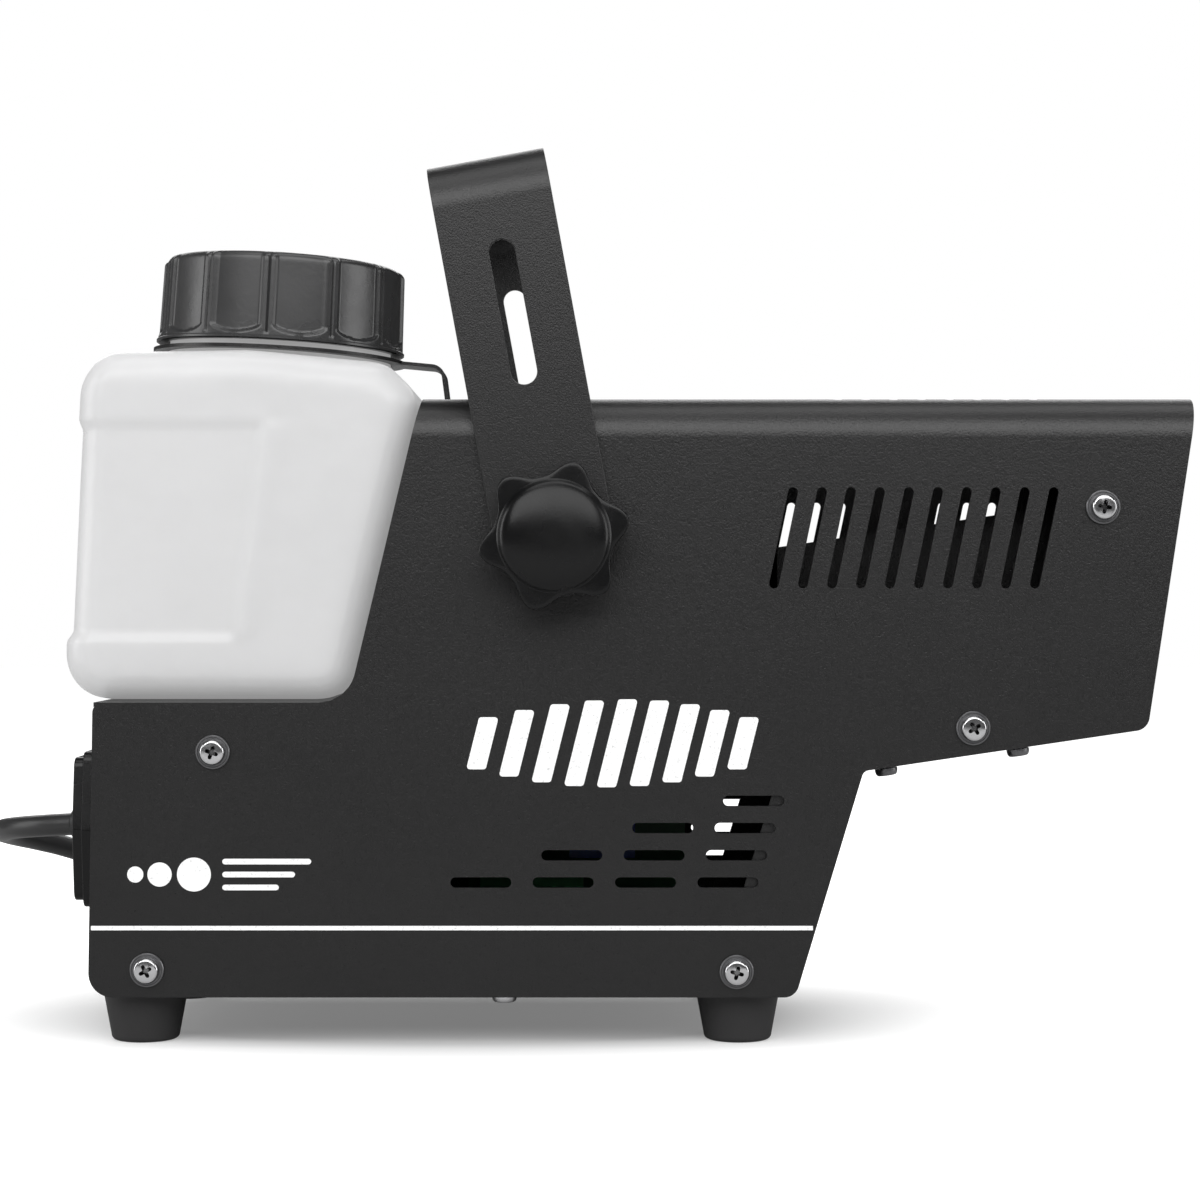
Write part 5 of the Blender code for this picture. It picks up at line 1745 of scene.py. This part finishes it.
@dataclass(frozen=True)
class MainsLead:
    """The lead: its strain relief, its route to a coil behind the machine, and its plug."""

    datum: Datum
    diameter: float = 0.0067
    relief_route: tuple[Triple, ...] = (
        (0.0080, 0.0285, 0.0532),
        (-0.0040, 0.0285, 0.0531),
        (-0.0120, 0.0290, 0.0529),
        (-0.0205, 0.0304, 0.0525),
    )
    route: tuple[Triple, ...] = (
        (-0.0208, 0.0305, 0.0525),
        (-0.0290, 0.0326, 0.0519),
        (-0.0366, 0.0366, 0.0511),
        (-0.0426, 0.0427, 0.0501),
        (-0.0463, 0.0504, 0.0489),
        (-0.0476, 0.0590, 0.0475),
        (-0.0462, 0.0676, 0.0459),
        (-0.0421, 0.0753, 0.0440),
        (-0.0358, 0.0813, 0.0417),
        (-0.0279, 0.0853, 0.0387),
        (-0.0190, 0.0872, 0.0347),
        (-0.0100, 0.0873, 0.0298),
        (-0.0010, 0.0863, 0.0243),
        (0.0090, 0.0848, 0.0182),
        (0.0200, 0.0831, 0.0122),
        (0.0320, 0.0815, 0.0073),
        (0.0450, 0.0803, 0.0044),
        (0.0570, 0.0797, 0.0036),
        (0.0680, 0.0795, 0.0035),
        (0.0792, 0.0795, 0.0035),
    )
    coil_centre: Pair = (0.1040, 0.1212)
    coil_middle: float = 0.0383
    pitch: float = 0.0068
    per_turn: int = 36
    length: float = 1.56
    plug_face: float = 0.0370
    plug_length: float = 0.0400
    plug_tail: float = 0.0097
    clip_reach: float = 0.0150
    pin: Triple = (0.0048, 0.0190, 0.0190)

    def columns(self) -> list[tuple[float, float]]:
        """For each turn of the coil, its radius and the height of its middle.

        Returns:
            The radius and the height of each turn, in the order of winding.
        """
        inner, outer = self.coil_middle - self.pitch / 2, self.coil_middle + self.pitch / 2
        low = self.route[-1][2]
        columns = [(outer, low), (inner, low)]
        columns += [(inner, low + self.pitch), (outer, low + self.pitch)]
        columns += [(inner, low + 2 * self.pitch), (outer, low + 2 * self.pitch)]
        return columns

    def coil_points(self) -> list[Vector]:
        """The coil's middle line, from its lowest outer turn to where it leaves for the plug.

        Returns:
            The points along the coil.
        """
        x, y = self.coil_centre
        columns = self.columns()
        points = []
        for turn, (radius, height) in enumerate(columns):
            last = turn == len(columns) - 1
            steps = self.per_turn // 2 if last else self.per_turn
            for k in range(steps):
                share = 0.0 if last else eased(min(1.0, max(0.0, (k / steps - 0.74) / 0.26)))
                following = columns[turn + 1] if not last else (radius, height)
                reach = radius + (following[0] - radius) * share
                rise = height + (following[1] - height) * share
                angle = -pi / 2 + 2 * pi * k / self.per_turn
                points.append(Vector(self.datum.at(x + reach * cos(angle), y + reach * sin(angle), rise)))
        return points

    def plug_place(self) -> Vector:
        """The middle of the plug's cable entry.

        Returns:
            The point where the lead enters the plug.
        """
        x, y = self.coil_centre
        outer = self.coil_middle + self.pitch
        beside_turn = self.coil_middle + self.pitch / 2
        clear = (outer**2 - (beside_turn - self.plug_tail / 2) ** 2) ** 0.5 + GAP
        return Vector(self.datum.at(x - clear, y + beside_turn, self.plug_face / 2 + GAP))

    def middle_line(self) -> list[Vector]:
        """The lead's whole middle line, evenly smooth.

        Returns:
            The points from the strain relief to the plug.
        """
        stations = [Vector(self.datum.at(*p)) for p in self.route]
        padded = [2 * stations[0] - stations[1], *stations, 2 * stations[-1] - stations[-2]]
        points = []
        for a, b, c, d in zip(padded, padded[1:], padded[2:], padded[3:]):
            for k in range(4):
                t = k / 4
                bend = (2 * a - 5 * b + 4 * c - d) * t * t + (3 * b - a - 3 * c + d) * t**3
                points.append((2 * b + (c - a) * t + bend) / 2)
        end = stations[-1]
        coil = self.coil_points()
        steps = 6
        points += [end + (coil[0] - end) * (k / steps) for k in range(steps)]
        points += coil
        x, y = self.coil_centre
        top = Vector(self.datum.at(x, y + self.coil_middle + self.pitch / 2, coil[-1].z))
        plug = self.plug_place()
        for k in range(steps + 1):
            share = k / steps
            height = top.z + (plug.z - top.z) * eased(share)
            points.append(Vector((top.x + (plug.x - top.x) * share, top.y, height)))
        return points

    def ring(self, centre: Vector, direction: Vector, radius: float, sides: int = 32) -> list[Vector]:
        """A ring of points round a centre, square to a direction."""
        turn = direction.to_track_quat("Z", "Y").to_matrix()
        return [centre + turn @ Vector(point) for point in circle(radius, 0, sides)]

    def relief(self, bench: Bench) -> bpy.types.Object:
        """The strain relief: a collar, a nut face and a tapered sleeve with grooves.

        Args:
            bench: where the pieces are made and placed.

        Returns:
            The piece.
        """
        centres = [Vector(self.datum.at(*p)) for p in self.relief_route]
        back = centres[0] - centres[1]
        face = Vector((self.datum.rear - GAP, centres[1].y, centres[1].z))
        rings = [self.ring(centres[0], back, 0.0058), self.ring(face, back, 0.0058)]
        collar = ((0, 0.0086), (0.0003, 0.0090), (0.0021, 0.0090), (0.0026, 0.0085), (0.0028, 0.0062))
        for out, radius in collar:
            rings.append(self.ring(face - Vector((out, 0, 0)), back, radius))
        start, middle, end = face - Vector((0.0031, 0, 0)), centres[2], centres[3]
        steps = 40
        for k in range(1, steps + 1):
            t = k / steps
            point = start * (1 - t) ** 2 + middle * (2 * t * (1 - t)) + end * t**2
            ahead = (middle - start) * (1 - t) + (end - middle) * t
            groove = 0.00045 * (0.5 + 0.5 * cos(2 * pi * t * 6.5)) if 0.08 < t < 0.92 else 0.0
            rings.append(self.ring(point, -ahead, 0.0060 - 0.0017 * t - groove * (1 - 0.5 * t)))
        piece = bench.raw("strain_relief", Shape().loft(rings))
        return bench.place(piece, "housing", "cord_jacket", ["cord_relief"], 50)

    def plug(self, bench: Bench) -> list[bpy.types.Object]:
        """The plug's body with its grip, its pins and its earth clips.

        Args:
            bench: where the pieces are made and placed.

        Returns:
            The body, its pins and its clips.
        """
        long, face = self.plug_length, self.plug_face
        at = stand(tuple(self.plug_place()), (0, -pi / 2, 0))
        profile = [(self.plug_tail - 0.001, 0), (self.plug_tail, 0.0005)]
        for k in range(5):
            profile.append((self.plug_tail + 0.0006 * k, 0.0020 + 0.0020 * k))
            profile.append((self.plug_tail - 0.0010 + 0.0006 * k, 0.0026 + 0.0020 * k))
        profile += [(0.0150, 0.0128), (0.0200, 0.0150), (0.0232, 0.0185), (0.0240, 0.0230), (0.0262, 0.0262)]
        profile += [(face - 0.0040, long - 0.0118), (face - 0.0008, long - 0.0104), (face, long - 0.0092)]
        profile += [(face, long - 0.0008), (face - 0.0012, long), (0.004, long)]
        body = bench.raw("plug_body", Shape().turned(profile, 72))
        cuts = Shape()
        for side in (-1, 1):
            low, high = long - 0.014, long + 0.004
            corners = ((0.0128, low), (0.022, low), (0.022, high), (self.clip_reach, high))
            cuts.prism([(side * a, b) for a, b in corners], -0.0035, 0.0035)
        bench.carve(body, Cut.REMOVE, cuts)
        bench.soften(body, 0.0003, 2, 50)
        body.data.transform(at)
        bench.place(body, "housing", "cord_jacket", ["mains_plug"], 40)
        diameter, spacing, reach = self.pin
        pieces = [body]
        for i, side in enumerate((-1, 1)):
            tip = diameter / 2
            start = long + reach - tip
            profile = [(diameter, long - 0.003), (diameter, start)]
            for turn in (k * pi / 14 for k in range(1, 7)):
                profile.append((diameter * cos(turn), start + tip * sin(turn)))
            pin = Shape().turned(profile, 28).moved(at @ Matrix.Translation((0, side * spacing / 2, 0)))
            piece = bench.raw(f"plug_pin_{i}", pin)
            pieces.append(bench.place(piece, "housing", "chrome_screw", angle=50))
            inner, outer = side * self.clip_reach - 0.0004, side * self.clip_reach + 0.0004
            clip = Shape().block((inner, -0.0025, long - 0.010), (outer, 0.0025, long - 0.0006))
            piece = bench.raw(f"plug_earth_clip_{i}", clip.moved(at))
            pieces.append(bench.place(piece, "housing", "chrome_screw", angle=30))
        return pieces

    def build(self, bench: Bench) -> None:
        """Args:
            bench: where the pieces are made and placed.
        """
        points = self.middle_line()
        curve = bpy.data.curves.new("mains_lead", "CURVE")
        curve.dimensions = "3D"
        curve.bevel_depth = self.diameter / 2
        curve.bevel_resolution = 5
        curve.use_fill_caps = True
        spline = curve.splines.new("POLY")
        spline.points.add(len(points) - 1)
        for point, place in zip(spline.points, points):
            point.co = (*place, 1.0)
        spline.use_smooth = True
        lead = linked("mains_lead", curve)
        bench.place(lead, "housing", "cord_jacket", ["mains_cord", "cord_coil"], None)
        relief = self.relief(bench)
        plug = self.plug(bench)
        measured = sum((b - a).length for a, b in zip(points, points[1:]))
        log.info("lead measures %.3f m along its middle line", measured)


# What shows of the inside, and the studio


@dataclass(frozen=True)
class Inside:
    """The frame's own nodes that stay, each in its finish."""

    def build(self, bench: Bench) -> None:
        """Gives every node the finish of its slot.

        Args:
            bench: where the pieces are made and placed.
        """
        for entry in frame["record"]["subparts"]:
            node = frame["nodes"][entry["node"]]
            finish = bench.finishes.finish_for(entry["material_slot"])
            if not node.material_slots:
                node.data.materials.append(finish)
            for slot in node.material_slots:
                slot.material = finish


@dataclass(frozen=True)
class Studio:
    """A pale floor, soft light and the camera."""

    eye: Triple = (-0.0081, -0.7550, 0.1187)
    lens: float = 78.65
    sensor: float = 36.0
    shift: Pair = (0.0042, 0.0025)
    floor_size: float = 8.0
    floor_colour: Triple = (0.55, 0.55, 0.55)
    backdrop: float = 1.0
    surround: float = 0.13
    # Camera-only floor glow, weak under the machine and strong away from it: a painted shadow beneath the machine,
    # added to the real one.
    floor_glow: Pair = (0.19, 0.95)
    painted_shadow_reach: Pair = (0.048, 0.100)
    painted_shadow_middle: Triple = (-0.048, 0.0, 0.0)
    painted_shadow_stretch: Triple = (0.52, 1.0, 1.0)
    softboxes: tuple[tuple[Triple, Triple, Pair, float], ...] = (
        ((0.0, -1.18, 0.92), (0.0, -0.05, 0.14), (2.4, 0.95), 29.0),
        ((0.05, -0.10, 1.20), (0.0, 0.0, 0.10), (1.4, 0.5), 5.0),
        ((-1.25, -0.20, 0.35), (0.0, 0.0, 0.14), (0.5, 0.9), 5.0),
        ((1.25, -0.20, 0.35), (0.0, 0.0, 0.14), (0.5, 0.9), 5.0),
        ((0.0, 1.30, 0.90), (0.0, 0.0, 0.10), (1.8, 0.7), 9.0),
    )

    def camera(self) -> None:
        """A level camera that looks along +Y."""
        data = bpy.data.cameras.new("camera")
        data.lens = self.lens
        data.sensor_width = self.sensor
        data.shift_x, data.shift_y = self.shift
        data.clip_start = 0.01
        camera = linked("camera", data)
        camera.matrix_world = stand(self.eye, (pi / 2, 0, 0))
        bpy.context.scene.camera = camera

    def floor(self) -> None:
        """The pale floor that the machine stands on, with a painted shadow under the machine."""
        half = self.floor_size / 2
        shape = Shape()
        corners = [(-half, -half, 0), (half, -half, 0), (half, half, 0), (-half, half, 0)]
        shape.mesh.faces.new([shape.mesh.verts.new(corner) for corner in corners])
        data = bpy.data.meshes.new("floor")
        shape.mesh.to_mesh(data)
        shape.mesh.free()
        floor = linked("floor", data)
        floor.location.z = -0.0001
        desk = NodeDesk.start("pale_floor")
        desk.set(Roughness=0.55, Specular_IOR_Level=0.25)
        grain = desk.noise(30, 3)
        desk.tint(grain, (0.3, 0.7), shade(self.floor_colour, 0.99), self.floor_colour)
        # Painted shadow: the floor's glow fades towards the middle of the machine's footprint.
        stretched = desk.add("Mapping")
        stretched.vector_type = "TEXTURE"
        stretched.inputs["Location"].default_value = self.painted_shadow_middle
        stretched.inputs["Scale"].default_value = tuple(1 / part for part in self.painted_shadow_stretch)
        desk.link(desk.place(), stretched.inputs["Vector"])
        away = desk.add("VectorMath")
        away.operation = "LENGTH"
        desk.link(stretched.outputs["Vector"], away.inputs[0])
        glow = desk.ramp(away.outputs["Value"], *zip(self.painted_shadow_reach, self.floor_glow))
        seen = desk.add("Math")
        seen.operation = "MULTIPLY"
        desk.link(glow, seen.inputs[0])
        desk.link(desk.add("LightPath").outputs["Is Camera Ray"], seen.inputs[1])
        desk.link(seen.outputs["Value"], desk.shader.inputs["Emission Strength"])
        desk.set(Emission_Color=(1, 1, 1, 1))
        data.materials.append(desk.material)

    def light(self) -> None:
        """The softboxes, and a pale surround that the camera sees as white."""
        for i, (place, target, size, power) in enumerate(self.softboxes):
            data = bpy.data.lights.new(f"softbox_{i}", "AREA")
            data.shape = "RECTANGLE"
            data.size, data.size_y = size
            data.energy = power
            lamp = linked(f"softbox_{i}", data)
            aim = (Vector(target) - Vector(place)).to_track_quat("-Z", "Y").to_matrix().to_4x4()
            lamp.matrix_world = Matrix.Translation(place) @ aim
        world = bpy.data.worlds.new("surround")
        bpy.context.scene.world = world
        world.use_nodes = True
        nodes, links = world.node_tree.nodes, world.node_tree.links
        seen, lit = nodes["Background"], nodes.new("ShaderNodeBackground")
        seen.inputs["Color"].default_value = (1, 1, 1, 1)
        seen.inputs["Strength"].default_value = self.backdrop
        lit.inputs["Color"].default_value = (1, 1, 1, 1)
        lit.inputs["Strength"].default_value = self.surround
        mix, path = nodes.new("ShaderNodeMixShader"), nodes.new("ShaderNodeLightPath")
        links.new(path.outputs["Is Camera Ray"], mix.inputs[0])
        links.new(lit.outputs[0], mix.inputs[1])
        links.new(seen.outputs[0], mix.inputs[2])
        links.new(mix.outputs[0], nodes["World Output"].inputs["Surface"])
        bpy.context.scene.view_settings.view_transform = "Standard"

    def build(self) -> None:
        """Sets up the studio."""
        self.camera()
        self.floor()
        self.light()


def main() -> None:
    """Builds the machine's looks in order."""
    logging.basicConfig(level=logging.INFO, format="%(message)s")
    Studio().build()
    bench, datum = Bench(), Datum()
    cover = FoldedCover(datum)
    bottle = Bottle(cover)
    Inside().build(bench)
    MainsLead(datum).build(bench)
    cover.build(bench)
    Printing(cover).build(bench)
    Handle(datum).build(bench)
    for side in Side:
        StarKnob(side, datum).build(bench)
    bottle.build(bench)
    ScrewCap(bottle).build(bench)
    NeckPlate(bottle).build(bench)
    for end in ("front", "rear"):
        for side in Side:
            Foot(f"foot_{end}_{side.word}").build(bench)
    Fasteners(cover).build(bench)
    RemoteSocket(cover).build(bench)
    log.info("%d pieces placed", bench.pieces)


if __name__ == "__main__":
    main()
